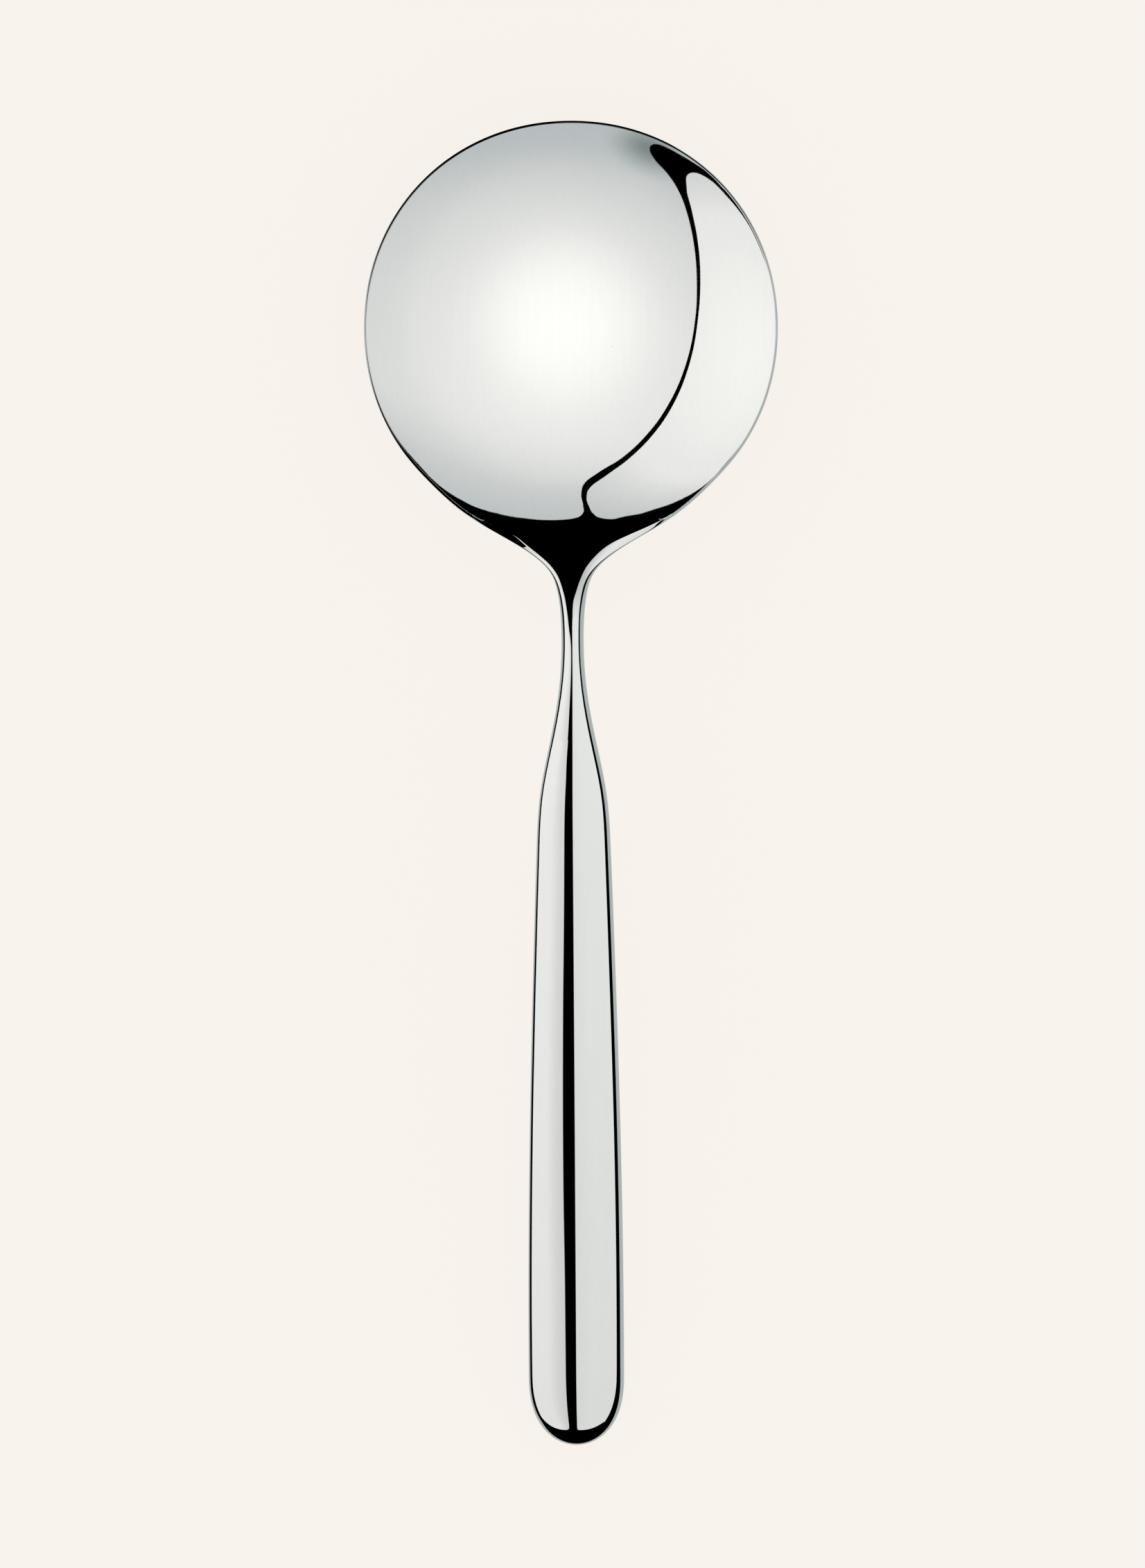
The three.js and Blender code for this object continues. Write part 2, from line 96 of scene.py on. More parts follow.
class SpoonSizes(bpy.types.PropertyGroup):
    """Real sizes of the spoon, in metres"""

    overall_length: length("Overall Length", "From the end of the handle to the tip of the bowl", 0.250)
    bowl_width: length("Bowl Width", "Across the rim of the bowl", 0.078)
    bowl_squareness: factor("Bowl Squareness", "Power of the bowl's rounded outline, 2 being a circle", 2.06)
    handle_width: length("Handle Width", "Across the handle where it is widest", 0.018)
    neck_width: length("Neck Width", "Across the neck where it is slimmest", 0.00425)
    butt_length: length("Butt Length", "Length of the rounded end of the handle", 0.0135)
    butt_power: factor("Butt Power", "Fullness of the rounded end of the handle", 2.5)
    lip_length: length("Lip Length", "From the bowl's middle to where the lip leaves its outline", 0.023)
    root_length: length("Root Length", "From the lip to where the neck is fully oval", 0.029)
    neck_length: length("Neck Length", "From the root of the neck to the mouth of the handle", 0.026)
    shoulder_length: length("Shoulder Length", "From the mouth to the shoulder of the handle", 0.020)
    bowl_depth: length("Bowl Depth", "From the rim down to the bowl's floor", 0.0125)
    bowl_wall: length("Bowl Wall", "Thickness of the pressed sheet", 0.0018)
    rim_round: length("Rim Round", "Reach of the bevelled rim", 0.0005)
    rim_power: factor("Rim Power", "Fullness of the rim, 1 being a plain bevel and 2 a half round", 1.1)
    rest_flat_depth: length("Rest Flat", "How much of the round underside is worn flat", 0.00025)
    neck_height: length("Neck Height", "Middle of the neck above the table at its highest", 0.020)
    neck_thickness: length("Neck Thickness", "Thickness of the forged neck", 0.005)
    handle_thickness: length("Handle Thickness", "Thickness of the handle near its end", 0.0082)
    weld_width: length("Weld Width", "Width of the weld between bowl and neck", 0.0006)
    solder: length("Solder", "Thickness of solder in the mouth and the side seam", 0.0004)
    shell_wall: length("Shell Wall", "Thickness of the handle's pressed shells", 0.0008)
    tang_width: length("Tang Width", "Width of the tang inside the handle", 0.0046)
    tang_thickness: length("Tang Thickness", "Thickness of the tang", 0.002)
    tang_length: length("Tang Length", "Length of the tang inside the handle", 0.074)
    tang_notch: length("Tang Notch", "Depth of the notches that the cement grips", 0.0007)


class SpoonFinish(bpy.types.PropertyGroup):
    """Colours of the spoon's metals and filling"""

    steel: colour("Steel", "Mirror-polished stainless steel", "dcdcdc")
    solder: colour("Solder", "Silver solder, polished flush", "dbdbd9")
    cement: colour("Cement", "Handle cement", "8d8a82")


class SpoonStage(bpy.types.PropertyGroup):
    """Studio round the spoon"""

    floor: colour("Floor", "Pale table", "f8f3ed")
    # The board tone is painted as a flat glow that stands in for the table and low wall in the steel's
    # reflection
    board: colour("Board", "Table and low wall as the steel mirrors them", "c6cfce")
    sheet_height: length("Sheet Height", "Height of the bowl's two light sheets above the table", 0.5)
    camera_height: length("Camera Height", "Height of the camera above the table", 3.0)
    picture_height: length("Picture Height", "Length of table that the picture is high", 0.2958)


# Form of the spoon

SMALL_STEP = 1e-7  # for slopes
TINY = 1e-9  # keeps a division from being by nothing
ON_TABLE = 1e-6  # height under which the skin counts as lying on the table
# The stretch of the handle from its end that may touch the table, and the places looked at in it
RESTING_STRETCH = 0.04
RESTING_PLACES = 201


def smooth_step(start, end, value):
    share = np.clip((value - start) / (end - start), 0, 1)
    return share**3 * (share * (6 * share - 15) + 10)


def curve_through(stations, end_slope):
    """Cubic curve through the stations with even curvature, and the given slope at its far end."""
    at = np.array([s[0] for s in stations])
    value = np.array([s[1] for s in stations])
    step = np.diff(at)
    rise = np.diff(value) / step
    count = len(at)
    matrix = np.zeros((count, count))
    right = np.zeros(count)
    matrix[0, 0] = 1
    for i in range(1, count - 1):
        matrix[i, i - 1 : i + 2] = step[i - 1], 2 * (step[i - 1] + step[i]), step[i]
        right[i] = 6 * (rise[i] - rise[i - 1])
    matrix[-1, -2:] = step[-1], 2 * step[-1]
    right[-1] = 6 * (end_slope - rise[-1])
    bend = np.linalg.solve(matrix, right)

    def curve(place):
        i = np.clip(np.searchsorted(at, place) - 1, 0, count - 2)
        a = (at[i + 1] - place) / step[i]
        b = 1 - a
        sag = ((a**3 - a) * bend[i] + (b**3 - b) * bend[i + 1]) * step[i] ** 2 / 6
        return a * value[i] + b * value[i + 1] + sag

    return curve


def slope_of(curve, place):
    return (curve(place + SMALL_STEP) - curve(place - SMALL_STEP)) / (2 * SMALL_STEP)


class SpoonForm:
    """The outside of the spoon, worked out from its sizes as in the CAD source"""

    def __init__(self, size):
        self.size = size
        self.tip_y = size.overall_length / 2
        self.butt_y = -size.overall_length / 2
        self.bowl_radius = size.bowl_width / 2
        self.bowl_y = self.tip_y - self.bowl_radius
        self.lip_y = self.bowl_y - size.lip_length
        self.root_y = self.lip_y - size.root_length
        self.plain_wall_y = between(self.lip_y, self.root_y, 0.17)
        self.lip_round_y = between(self.lip_y, self.root_y, 0.38)
        self.weld_y = between(self.lip_y, self.root_y, 0.467)
        self.mouth_y = self.root_y - size.neck_length
        self.crest_y = between(self.mouth_y, self.root_y, 0.3)
        self.shoulder_y = self.mouth_y - size.shoulder_length
        self.butt_start_y = self.butt_y + size.butt_length
        self.bowl_curve = self.bowl_radius**2 / (2 * size.bowl_depth)
        self.bowl_floor = size.bowl_wall / 2 - size.rest_flat_depth
        self.plan_curve = self.make_plan_curve()
        self.thick_curve = self.make_thick_curve()
        self.arch = self.handle_fall() / (self.crest_y - self.butt_y) ** 2
        self.rise = self.make_rise()

    def make_plan_curve(self):
        """Half the width from the butt to the lip, through stations along the plan."""
        half = self.size.handle_width / 2
        neck = self.size.neck_width / 2
        lip = float(self.bowl_half_width(self.lip_y))
        butt, shoulder, mouth = self.butt_y, self.shoulder_y, self.mouth_y
        root, edge = self.root_y, self.lip_y
        stations = [
            (butt, half * 0.998),
            (between(butt, shoulder, 0.22), half),
            (between(butt, shoulder, 0.56), half * 0.942),
            (between(butt, shoulder, 0.84), half * 0.844),
            (shoulder, half * 0.775),
            (between(shoulder, mouth, 0.5), half * 0.696),
            (mouth, neck + half * 0.246),
            (between(mouth, root, 0.385), neck * 1.224),
            (between(mouth, root, 0.827), neck),
            (between(root, edge, 0.086), neck * 1.354),
            (between(root, edge, 0.224), neck * 2.184),
            (between(root, edge, 0.362), lip * 0.296),
            (between(root, edge, 0.534), lip * 0.558),
            (between(root, edge, 0.759), lip * 0.808),
            (edge, lip),
        ]
        return curve_through(stations, float(slope_of(self.bowl_half_width, edge)))

    def make_thick_curve(self):
        """Half the thickness from the butt to the lip, through stations along the side."""
        wall = self.size.bowl_wall / 2
        stem = self.size.neck_thickness / 2
        bulk = self.size.handle_thickness / 2
        stations = [
            (self.butt_y, bulk),
            (between(self.butt_y, self.shoulder_y, 0.575), bulk * 0.93),
            (self.shoulder_y, bulk * 0.825),
            (between(self.shoulder_y, self.mouth_y, 0.8), stem + bulk * 0.12),
            (between(self.mouth_y, self.root_y, 0.46), stem),
            (self.root_y, stem * 0.97),
            (between(self.root_y, self.lip_y, 0.276), stem * 0.7),
            (between(self.root_y, self.lip_y, 0.552), wall * 1.2),
            (self.plain_wall_y, wall),
        ]
        return curve_through(stations, 0)

    def bowl_half_width(self, y):
        power = self.size.bowl_squareness
        share = np.clip(np.abs((y - self.bowl_y) / self.bowl_radius), 0, 1)
        return self.bowl_radius * (1 - share**power) ** (1 / power)

    def half_width(self, y):
        y = np.asarray(y, float)
        return np.where(y > self.lip_y, self.bowl_half_width(y), self.plan_curve(np.minimum(y, self.lip_y)))

    def half_thickness(self, y):
        y = np.asarray(y, float)
        thick = self.thick_curve(np.minimum(y, self.plain_wall_y))
        return np.where(y > self.plain_wall_y, self.size.bowl_wall / 2, thick)

    def past_butt(self, y):
        """Share of the butt's length that y is past the butt's start."""
        return np.clip((self.butt_start_y - y) / self.size.butt_length, 0, None)

    def handle_fall(self):
        """Fall of the handle from the crest of the neck, so that its underside just meets the table."""
        y = self.butt_y + np.linspace(0, RESTING_STRETCH, RESTING_PLACES)
        along = (self.crest_y - y) / (self.crest_y - self.butt_y)
        roundness = np.sqrt(np.clip(1 - self.past_butt(y) ** self.size.butt_power, 0, 1))
        return float(np.min((self.size.neck_height - self.half_thickness(y) * roundness) / along**2))

    def make_rise(self):
        """Curve of the middle line from the dish to the arch, with even slope and bend at both ends."""
        start = between(self.root_y, self.lip_y, 0.586)
        end = between(self.root_y, self.mouth_y, 0.308)
        from_middle = start - self.bowl_y
        dish_floor = self.bowl_floor + from_middle**2 / (2 * self.bowl_curve)
        dish = (dish_floor, from_middle / self.bowl_curve, 1 / self.bowl_curve)
        from_crest = end - self.crest_y
        arch_top = self.size.neck_height - self.arch * from_crest**2
        arch = (arch_top, -2 * self.arch * from_crest, -2 * self.arch)
        span = end - start
        gap = arch[0] - dish[0] - dish[1] * span - dish[2] * span**2 / 2
        slope = (arch[1] - dish[1] - dish[2] * span) * span
        bend = (arch[2] - dish[2]) * span**2
        a = 10 * gap - 4 * slope + bend / 2
        b = -15 * gap + 7 * slope - bend
        c = 6 * gap - 3 * slope + bend / 2

        def rise(y):
            t = (y - start) / span
            along = t * span
            return dish[0] + along * (dish[1] + along * dish[2] / 2) + t**3 * (a + t * (b + t * c))

        return start, end, rise

    def middle_line(self, y):
        start, end, rise = self.rise
        y = np.asarray(y, float)
        dish = self.bowl_floor + (y - self.bowl_y) ** 2 / (2 * self.bowl_curve)
        arch = self.size.neck_height - self.arch * (y - self.crest_y) ** 2
        return np.where(y >= start, dish, np.where(y <= end, arch, rise(y)))

    def middle(self, x, y):
        dished = smooth_step(self.root_y, between(self.root_y, self.lip_y, 0.62), y)
        return self.middle_line(y) + dished * x**2 / (2 * self.bowl_curve)

    def edge_reach(self, y):
        """How far in from the outline the rounding of the edge reaches on lip, neck and handle."""
        tilt = np.hypot(1, slope_of(self.half_width, np.clip(y, self.butt_start_y, self.bowl_y)))
        roundness = smooth_step(self.lip_round_y, self.root_y, y)
        return self.size.rim_round * tilt * (1 - roundness) + self.half_width(y) * roundness

    def edge_depth(self, x, y):
        """How deep a plan place is in the rounding of the edge: 0 on the plain wall, 1 on the outline."""
        power = self.size.bowl_squareness
        radius = np.hypot(x, y - self.bowl_y)
        norm = (np.abs(x) ** power + np.abs(y - self.bowl_y) ** power) ** (1 / power)
        rim_inside = radius * (self.bowl_radius / np.maximum(norm, TINY) - 1)
        in_rim = 1 - rim_inside / self.size.rim_round
        in_lip = 1 - (self.half_width(y) - np.abs(x)) / np.maximum(self.edge_reach(y), TINY)
        deep = np.where(radius < self.bowl_radius / 2, 0, np.where(y >= self.bowl_y, in_rim, in_lip))
        return np.maximum(deep, 0)

    def edge_power(self, y):
        return between(self.size.rim_power, 2, smooth_step(self.lip_round_y, self.root_y, y))

    def edge_height(self, x, y):
        """Height of the skin over the middle: half the thickness, less towards the outline."""
        power = self.edge_power(y)
        return self.half_thickness(y) * np.clip(1 - self.edge_depth(x, y) ** power, 0, 1) ** (1 / power)

    def top(self, x, y):
        return self.middle(x, y) + self.edge_height(x, y)

    def under(self, x, y):
        return np.maximum(self.middle(x, y) - self.edge_height(x, y), 0)

    def skin(self, x, y, z):
        """Below 0 inside the spoon, 0 on its skin, above 0 outside."""
        up = np.abs(z - self.middle(x, y)) / self.half_thickness(y)
        power = self.edge_power(y)
        return up**power + self.edge_depth(x, y) ** power + self.past_butt(y) ** self.size.butt_power - 1

    def normals(self, places):
        """True outward directions of the skin, so that mirrored lines run on across joints and facets."""
        x, y, z = places.T
        step = SMALL_STEP
        lean = np.stack(
            [
                self.skin(x + step, y, z) - self.skin(x - step, y, z),
                self.skin(x, y + step, z) - self.skin(x, y - step, z),
                self.skin(x, y, z + step) - self.skin(x, y, z - step),
            ],
            axis=1,
        )
        resting = (z < ON_TABLE) & (np.hypot(x, y - self.bowl_y) < self.bowl_radius / 2)
        lean[resting] = (0, 0, -1)
        return lean / np.linalg.norm(lean, axis=1, keepdims=True)


# Building of meshes

SAME_PLACE = 1e-8
NO_LENGTH = 1e-9


class Piece:
    """Collects the faces of one closed piece. Shown faces lie on the spoon's outside and shade smoothly."""

    def __init__(self):
        self.mesh = bmesh.new()

    def grid(self, places, shown=True, around=False):
        """Covers a grid of places, rows by columns, with four-sided faces."""
        rows, columns, _ = places.shape
        spots = [[self.mesh.verts.new(p) for p in row] for row in places]
        for i in range(rows - 1):
            for j in range(columns if around else columns - 1):
                k = (j + 1) % columns
                corners = spots[i][j], spots[i][k], spots[i + 1][k], spots[i + 1][j]
                self.mesh.faces.new(corners).smooth = shown

    def face(self, places):
        """Closes an end with one flat face."""
        self.mesh.faces.new([self.mesh.verts.new(p) for p in places])

    def make(self, name, material, form):
        """Joins the faces to one object with its material and shading."""
        bmesh.ops.remove_doubles(self.mesh, verts=self.mesh.verts, dist=SAME_PLACE)
        bmesh.ops.dissolve_degenerate(self.mesh, edges=self.mesh.edges, dist=NO_LENGTH)
        bmesh.ops.recalc_face_normals(self.mesh, faces=self.mesh.faces)
        data = bpy.data.meshes.new(name)
        self.mesh.to_mesh(data)
        self.mesh.free()
        data.materials.append(material)
        self.shade(data, form)
        piece = bpy.data.objects.new(name, data)
        bpy.context.scene.collection.objects.link(piece)
        return piece

    @staticmethod
    def shade(data, form):
        """Gives shown faces the directions of the true skin, and leaves the others flat."""
        places = np.empty(len(data.vertices) * 3)
        data.vertices.foreach_get("co", places)
        corner = np.empty(len(data.loops), int)
        data.loops.foreach_get("vertex_index", corner)
        sides = np.empty(len(data.polygons), int)
        data.polygons.foreach_get("loop_total", sides)
        shown = np.empty(len(data.polygons), bool)
        data.polygons.foreach_get("use_smooth", shown)
        directions = form.normals(places.reshape(-1, 3))[corner]
        directions[~np.repeat(shown, sides)] = 0
        data.normals_split_custom_set(directions)


def ring_turns(steps):
    """Turns round a section: along the top from left to right, then back along the underside."""
    return np.pi * (np.arange(2 * steps) / steps - 0.5)


SECTION_STEPS = 96
FLAT_SHARE = 0.35  # least share of a section's half width that keeps its even steps


def outside_ring(form, y):
    """Ring of the spoon's outside, with corners along the inner edge of its rounding."""
    turn = ring_turns(SECTION_STEPS)
    quarter = 2 * turn / np.pi
    run = np.where(np.abs(turn) <= np.pi / 2, np.abs(quarter), np.abs(quarter - 2))
    width = form.half_width(y)
    inner = np.maximum(width - form.edge_reach(y), FLAT_SHARE * width)
    outer = inner + (width - inner) * np.sin(np.pi * (run - 0.5))
    x = np.sign(np.sin(turn)) * np.where(run < 0.5, 2 * inner * run, outer)
    along = np.full_like(x, y)
    upper = np.arange(len(turn)) <= SECTION_STEPS
    return np.stack([x, along, np.where(upper, form.top(x, along), form.under(x, along))], axis=1)


def bar_ring(form, y, half_width, half_height, power):
    """Ring of an oval, or with a higher power of a bar with rounded corners, round the middle line."""
    turn = ring_turns(SECTION_STEPS)
    across, up = np.sin(turn), np.cos(turn)
    x = half_width * np.sign(across) * np.abs(across) ** (2 / power)
    z = half_height * np.sign(up) * np.abs(up) ** (2 / power)
    return np.stack([x, np.full_like(x, y), form.middle_line(y) + z], axis=1)


def cap(ring):
    """Rows across a ring, from its upper run to its lower one."""
    upper = ring[: SECTION_STEPS + 1]
    lower = np.vstack([ring[:1], ring[:SECTION_STEPS:-1], ring[SECTION_STEPS : SECTION_STEPS + 1]])
    return np.stack([upper, lower])


BOWL_CUT_STEPS = SECTION_STEPS
BOWL_SIDE_STEPS = 100
BOWL_CROWDING = 1.7  # how closely the steps of the side stand towards the lip
BOWL_RINGS = 44
RIM_RINGS = 12
BOWL_PATCH = 0.3
BOWL_CORNER = math.radians(40)
# Where the even rings end, and the rings from there to the rim's rounding.
# Both are distances from the outline, in reaches of the rounding.
EVEN_END = 3
RIM_APPROACH = (2, 1.4, 1.15, 1.015)
# The outline is looked for between these shares of the bowl's radius, by halving
OUTLINE_NEAR, OUTLINE_FAR = 0.9, 1.4
HALVINGS = 50


def bowl_outline(form):
    """Plan places round the bowl: right side, tip, left side and the straight edge at the weld."""
    cut_y = form.weld_y + form.size.weld_width / 2
    cut_half = float(form.half_width(cut_y))
    cut_turn = math.atan2(cut_y - form.bowl_y, cut_half)
    side = between(cut_turn, BOWL_CORNER, np.linspace(0, 1, BOWL_SIDE_STEPS + 1) ** BOWL_CROWDING)
    turns = np.concatenate(
        [
            side[:-1],
            np.linspace(BOWL_CORNER, np.pi - BOWL_CORNER, BOWL_CUT_STEPS, endpoint=False),
            np.pi - side[:0:-1],
        ]
    )
    near = np.full_like(turns, form.bowl_radius * OUTLINE_NEAR)
    far = np.full_like(turns, form.bowl_radius * OUTLINE_FAR)
    for _ in range(HALVINGS):
        reach = (near + far) / 2
        inside = np.abs(reach * np.cos(turns)) < form.half_width(form.bowl_y + reach * np.sin(turns))
        near = np.where(inside, reach, near)
        far = np.where(inside, far, reach)
    rim = np.stack([near * np.cos(turns), form.bowl_y + near * np.sin(turns)], axis=1)
    across = outside_ring(form, cut_y)[:BOWL_CUT_STEPS, 0]
    cut = np.stack([across, np.full_like(across, cut_y)], axis=1)
    rim[0] = cut_half, cut_y
    return np.concatenate([rim, cut])


def bowl_patch(edge):
    """Plan grid over the middle of the bowl, inside the innermost ring."""
    side, tip = BOWL_SIDE_STEPS, BOWL_CUT_STEPS
    ring = np.concatenate([edge, edge[:1]])
    right = ring[: side + 1][:, None]
    top = ring[side : side + tip + 1][::-1][None]
    left = ring[side + tip : 2 * side + tip + 1][::-1][:, None]
    bottom = ring[2 * side + tip :][None]
    s = np.linspace(0, 1, tip + 1)[None, :, None]
    t = np.linspace(0, 1, side + 1)[:, None, None]
    corners = (1 - s) * (1 - t) * bottom[:, :1] + s * (1 - t) * bottom[:, -1:]
    corners = corners + (1 - s) * t * top[:, :1] + s * t * top[:, -1:]
    return (1 - t) * bottom + t * top + (1 - s) * left + s * right - corners


def make_bowl(form, material):
    """Dish with its lip: a patch in the middle, rings round it, and the straight end at the weld."""
    outline = bowl_outline(form)
    middle = np.array([0, form.bowl_y])
    rim_share = form.size.rim_round / form.bowl_radius
    shares = np.concatenate(
        [
            np.linspace(BOWL_PATCH, 1 - EVEN_END * rim_share, BOWL_RINGS),
            1 - rim_share * np.array(RIM_APPROACH),
            1 - rim_share * (1 - np.linspace(0, 1, RIM_RINGS) ** 2),
        ]
    )
    plan = middle + shares[:, None, None] * (outline - middle)
    patch = bowl_patch(plan[0])
    on_rim = np.zeros(plan.shape[:2], bool)
    on_rim[-1, : len(outline) - BOWL_CUT_STEPS + 1] = True
    piece = Piece()
    sides = []
    for height in (form.top, form.under):
        z = np.where(on_rim, form.middle(plan[..., 0], plan[..., 1]), height(plan[..., 0], plan[..., 1]))
        skin = np.dstack([plan, z])
        piece.grid(skin, around=True)
        piece.grid(np.dstack([patch, height(patch[..., 0], patch[..., 1])]))
        sides.append(np.concatenate([skin[-1, -BOWL_CUT_STEPS:], skin[-1, :1]]))
    piece.grid(np.stack(sides), shown=False)
    return piece.make("polished_bowl", material, form)


WELD_ROWS = 3
SHANK_ROWS = 140
# Notches: their places and half their width as shares of the tang's length.
# Their form goes from side to side, in halves of the width and shares of the depth.
NOTCH_PLACES = (0.3, 0.55, 0.8)
NOTCH_HALF = 0.03
NOTCH_FORM = ((-2, 0), (-1, 1), (1, 1), (2, 0))
TANG_POWER = 4


def make_weld(form, material):
    half = form.size.weld_width / 2
    rows = np.linspace(form.weld_y + half, form.weld_y - half, WELD_ROWS)
    rings = np.stack([outside_ring(form, y) for y in rows])
    piece = Piece()
    piece.grid(rings, around=True)
    piece.grid(cap(rings[0]), shown=False)
    piece.grid(cap(rings[-1]), shown=False)
    return piece.make("polished_bowl_weld", material, form)


def tang_rings(form, start_y):
    """Rings of the tang, narrowed at each notch."""
    size = form.size
    stations = [(0, 0)]
    for place in NOTCH_PLACES:
        stations += [(place + halves * NOTCH_HALF, notch) for halves, notch in NOTCH_FORM]
    stations.append((1, 0))
    rings = []
    for share, notch in stations:
        y = form.mouth_y - size.tang_length * share if share > 0 else start_y
        half = size.tang_width / 2 - notch * size.tang_notch
        rings.append(bar_ring(form, y, half, size.tang_thickness / 2, TANG_POWER))
    return np.stack(rings)


def make_shank(form, material):
    start = form.weld_y - form.size.weld_width / 2
    end = form.mouth_y + form.size.solder / 2
    neck = np.stack([outside_ring(form, y) for y in np.linspace(start, end, SHANK_ROWS)])
    tang = tang_rings(form, end)
    piece = Piece()
    piece.grid(neck, around=True)
    piece.grid(np.stack([neck[-1], tang[0]]), shown=False, around=True)
    piece.grid(tang, shown=False, around=True)
    piece.grid(cap(neck[0]), shown=False)
    piece.grid(cap(tang[-1]), shown=False)
    return piece.make("polished_neck_shank", material, form)


HANDLE_ROWS = 180
BUTT_STEPS = 48
SHELL_STEPS = 40


def handle_side(form, inset, side, lift):
    """Handle from its side seam to its spine.

    The columns run from the mouth along the right side, round the butt and back.
    """
    size = form.size
    share = 1 - np.arange(SHELL_STEPS + 1) / SHELL_STEPS
    rows = np.linspace(form.mouth_y - size.solder / 2, form.butt_start_y, HANDLE_ROWS)

    def heights(y, turn):
        rise = side * (form.half_thickness(y) - inset) * np.cos(turn)
        return np.maximum(form.middle_line(y) + rise, inset)

    y = np.repeat(rows[:, None], SHELL_STEPS + 1, axis=1)
    turn = np.arccos(np.minimum(1, lift / (form.half_thickness(y) - inset))) * share
    x = (form.half_width(y) - inset) * np.sin(turn)
    right = np.dstack([x, y, heights(y, turn)])
    left = np.dstack([-x, y, heights(y, turn)])[::-1]
    swing = np.pi * (0.5 - np.arange(1, BUTT_STEPS)[:, None] / BUTT_STEPS)
    start_half = float(form.half_thickness(form.butt_start_y)) - inset
    turn = math.acos(lift / start_half) * share[None]
    back = (np.sin(turn) * np.cos(swing)) ** (2 / size.butt_power)
    y = form.butt_start_y - (size.butt_length - inset) * back
    x = (form.half_width(y) - inset) * np.sin(turn) * np.sin(swing)
    butt = np.dstack([x, y, heights(y, np.broadcast_to(turn, y.shape))])
    return np.concatenate([right, butt, left])


def make_shell(form, material, name, side):
    lift = form.size.solder / 2
    outer = handle_side(form, 0, side, lift)
    inner = handle_side(form, form.size.shell_wall, side, lift)
    piece = Piece()
    piece.grid(outer)
    piece.grid(inner, shown=False)
    piece.grid(np.stack([outer[:, 0], inner[:, 0]]), shown=False)
    for end in (0, -1):
        piece.grid(np.stack([outer[end], inner[end]]), shown=False)
    return piece.make(name, material, form)


def make_seam(form, material):
    lift = form.size.solder / 2
    wall = form.size.shell_wall
    corners = ((0, 1), (wall, 1), (wall, -1), (0, -1))
    runs = [handle_side(form, inset, side, lift)[:, 0] for inset, side in corners]
    middle = handle_side(form, 0, 1, 0)[:, 0]
    piece = Piece()
    piece.grid(np.stack([runs[3], middle, runs[0]]))
    piece.grid(np.stack(runs), shown=False)
    for end in (0, -1):
        piece.face([middle[end], *(run[end] for run in runs)])
    return piece.make("polished_seam_solder", material, form)


def make_mouth_solder(form, material):
    half = form.size.solder / 2
    wall = form.size.shell_wall

    def ring(y, inset):
        return bar_ring(form, y, form.half_width(y) - inset, form.half_thickness(y) - inset, 2)

    tip, end = form.mouth_y + half, form.mouth_y - half
    piece = Piece()
    piece.grid(np.stack([ring(tip, 0), ring(form.mouth_y, 0), ring(end, 0)]), around=True)
    hidden = [ring(end, 0), ring(end, wall), ring(tip, wall), ring(tip, 0)]
    piece.grid(np.stack(hidden), shown=False, around=True)
    return piece.make("polished_mouth_solder", material, form)


# Materials

# Buffing lines on the real steel are a few hundredths of a millimetre wide.
# Here they are drawn wide enough to show.
BUFF_LINE_WIDTH = 0.0007
BUFF_LINE_LENGTH = 0.035
BUFF_LINE_DEPTH = 1e-7
HAZE_SIZE = 0.014
HAZE_SHARE = 0.4
SPECK_SPACING = 0.011
SPECK_RADIUS = 0.00018
SPECK_ROUGHNESS = 0.15
STEEL_ROUGHNESS = 0.014
SOLDER_ROUGHNESS = 0.016
# Tone of the metal in a buffing line and in a speck
WORN_SHARE = 0.985
PIT_SHARE = 0.75
CEMENT_GRAIN = 0.0006
CEMENT_GRAIN_DEPTH = 0.0002
CEMENT_VOID = 0.0025


def node(tree, kind, links=None, out=0, stops=(), points=(), **settings):
    """Adds a node and returns the named or numbered output, or all outputs where out is None.

    Links give its inputs, as a socket to link or a value to set. Stops and points draw its ramp or curve.
    """
    made = tree.nodes.new(kind)
    for name, value in settings.items():
        setattr(made, name, value)
    for name, value in (links or {}).items():
        if isinstance(value, bpy.types.NodeSocket):
            tree.links.new(value, made.inputs[name])
        else:
            made.inputs[name].default_value = value
    for i, (place, tone) in enumerate(stops):
        elements = made.color_ramp.elements
        ends = {0: 0, len(stops) - 1: -1}
        element = elements[ends[i]] if i in ends else elements.new(place)
        element.position = place
        element.color = (*linear(tone), 1)
    for i, (place, value) in enumerate(points):
        curve = made.mapping.curves[0]
        ends = {0: 0, len(points) - 1: -1}
        point = curve.points[ends[i]] if i in ends else curve.points.new(place, value)
        point.location = (place, value)
        point.handle_type = "AUTO_CLAMPED"
    if points:
        made.mapping.update()
    return made.outputs if out is None else made.outputs[out]


def new_material(name):
    material = bpy.data.materials.new(name)
    material.use_nodes = True
    material.node_tree.nodes.clear()
    return material


def tinted(colour, share):
    """A colour made brighter or darker by a share, as a socket takes it."""
    return (*(v * share for v in colour), 1)


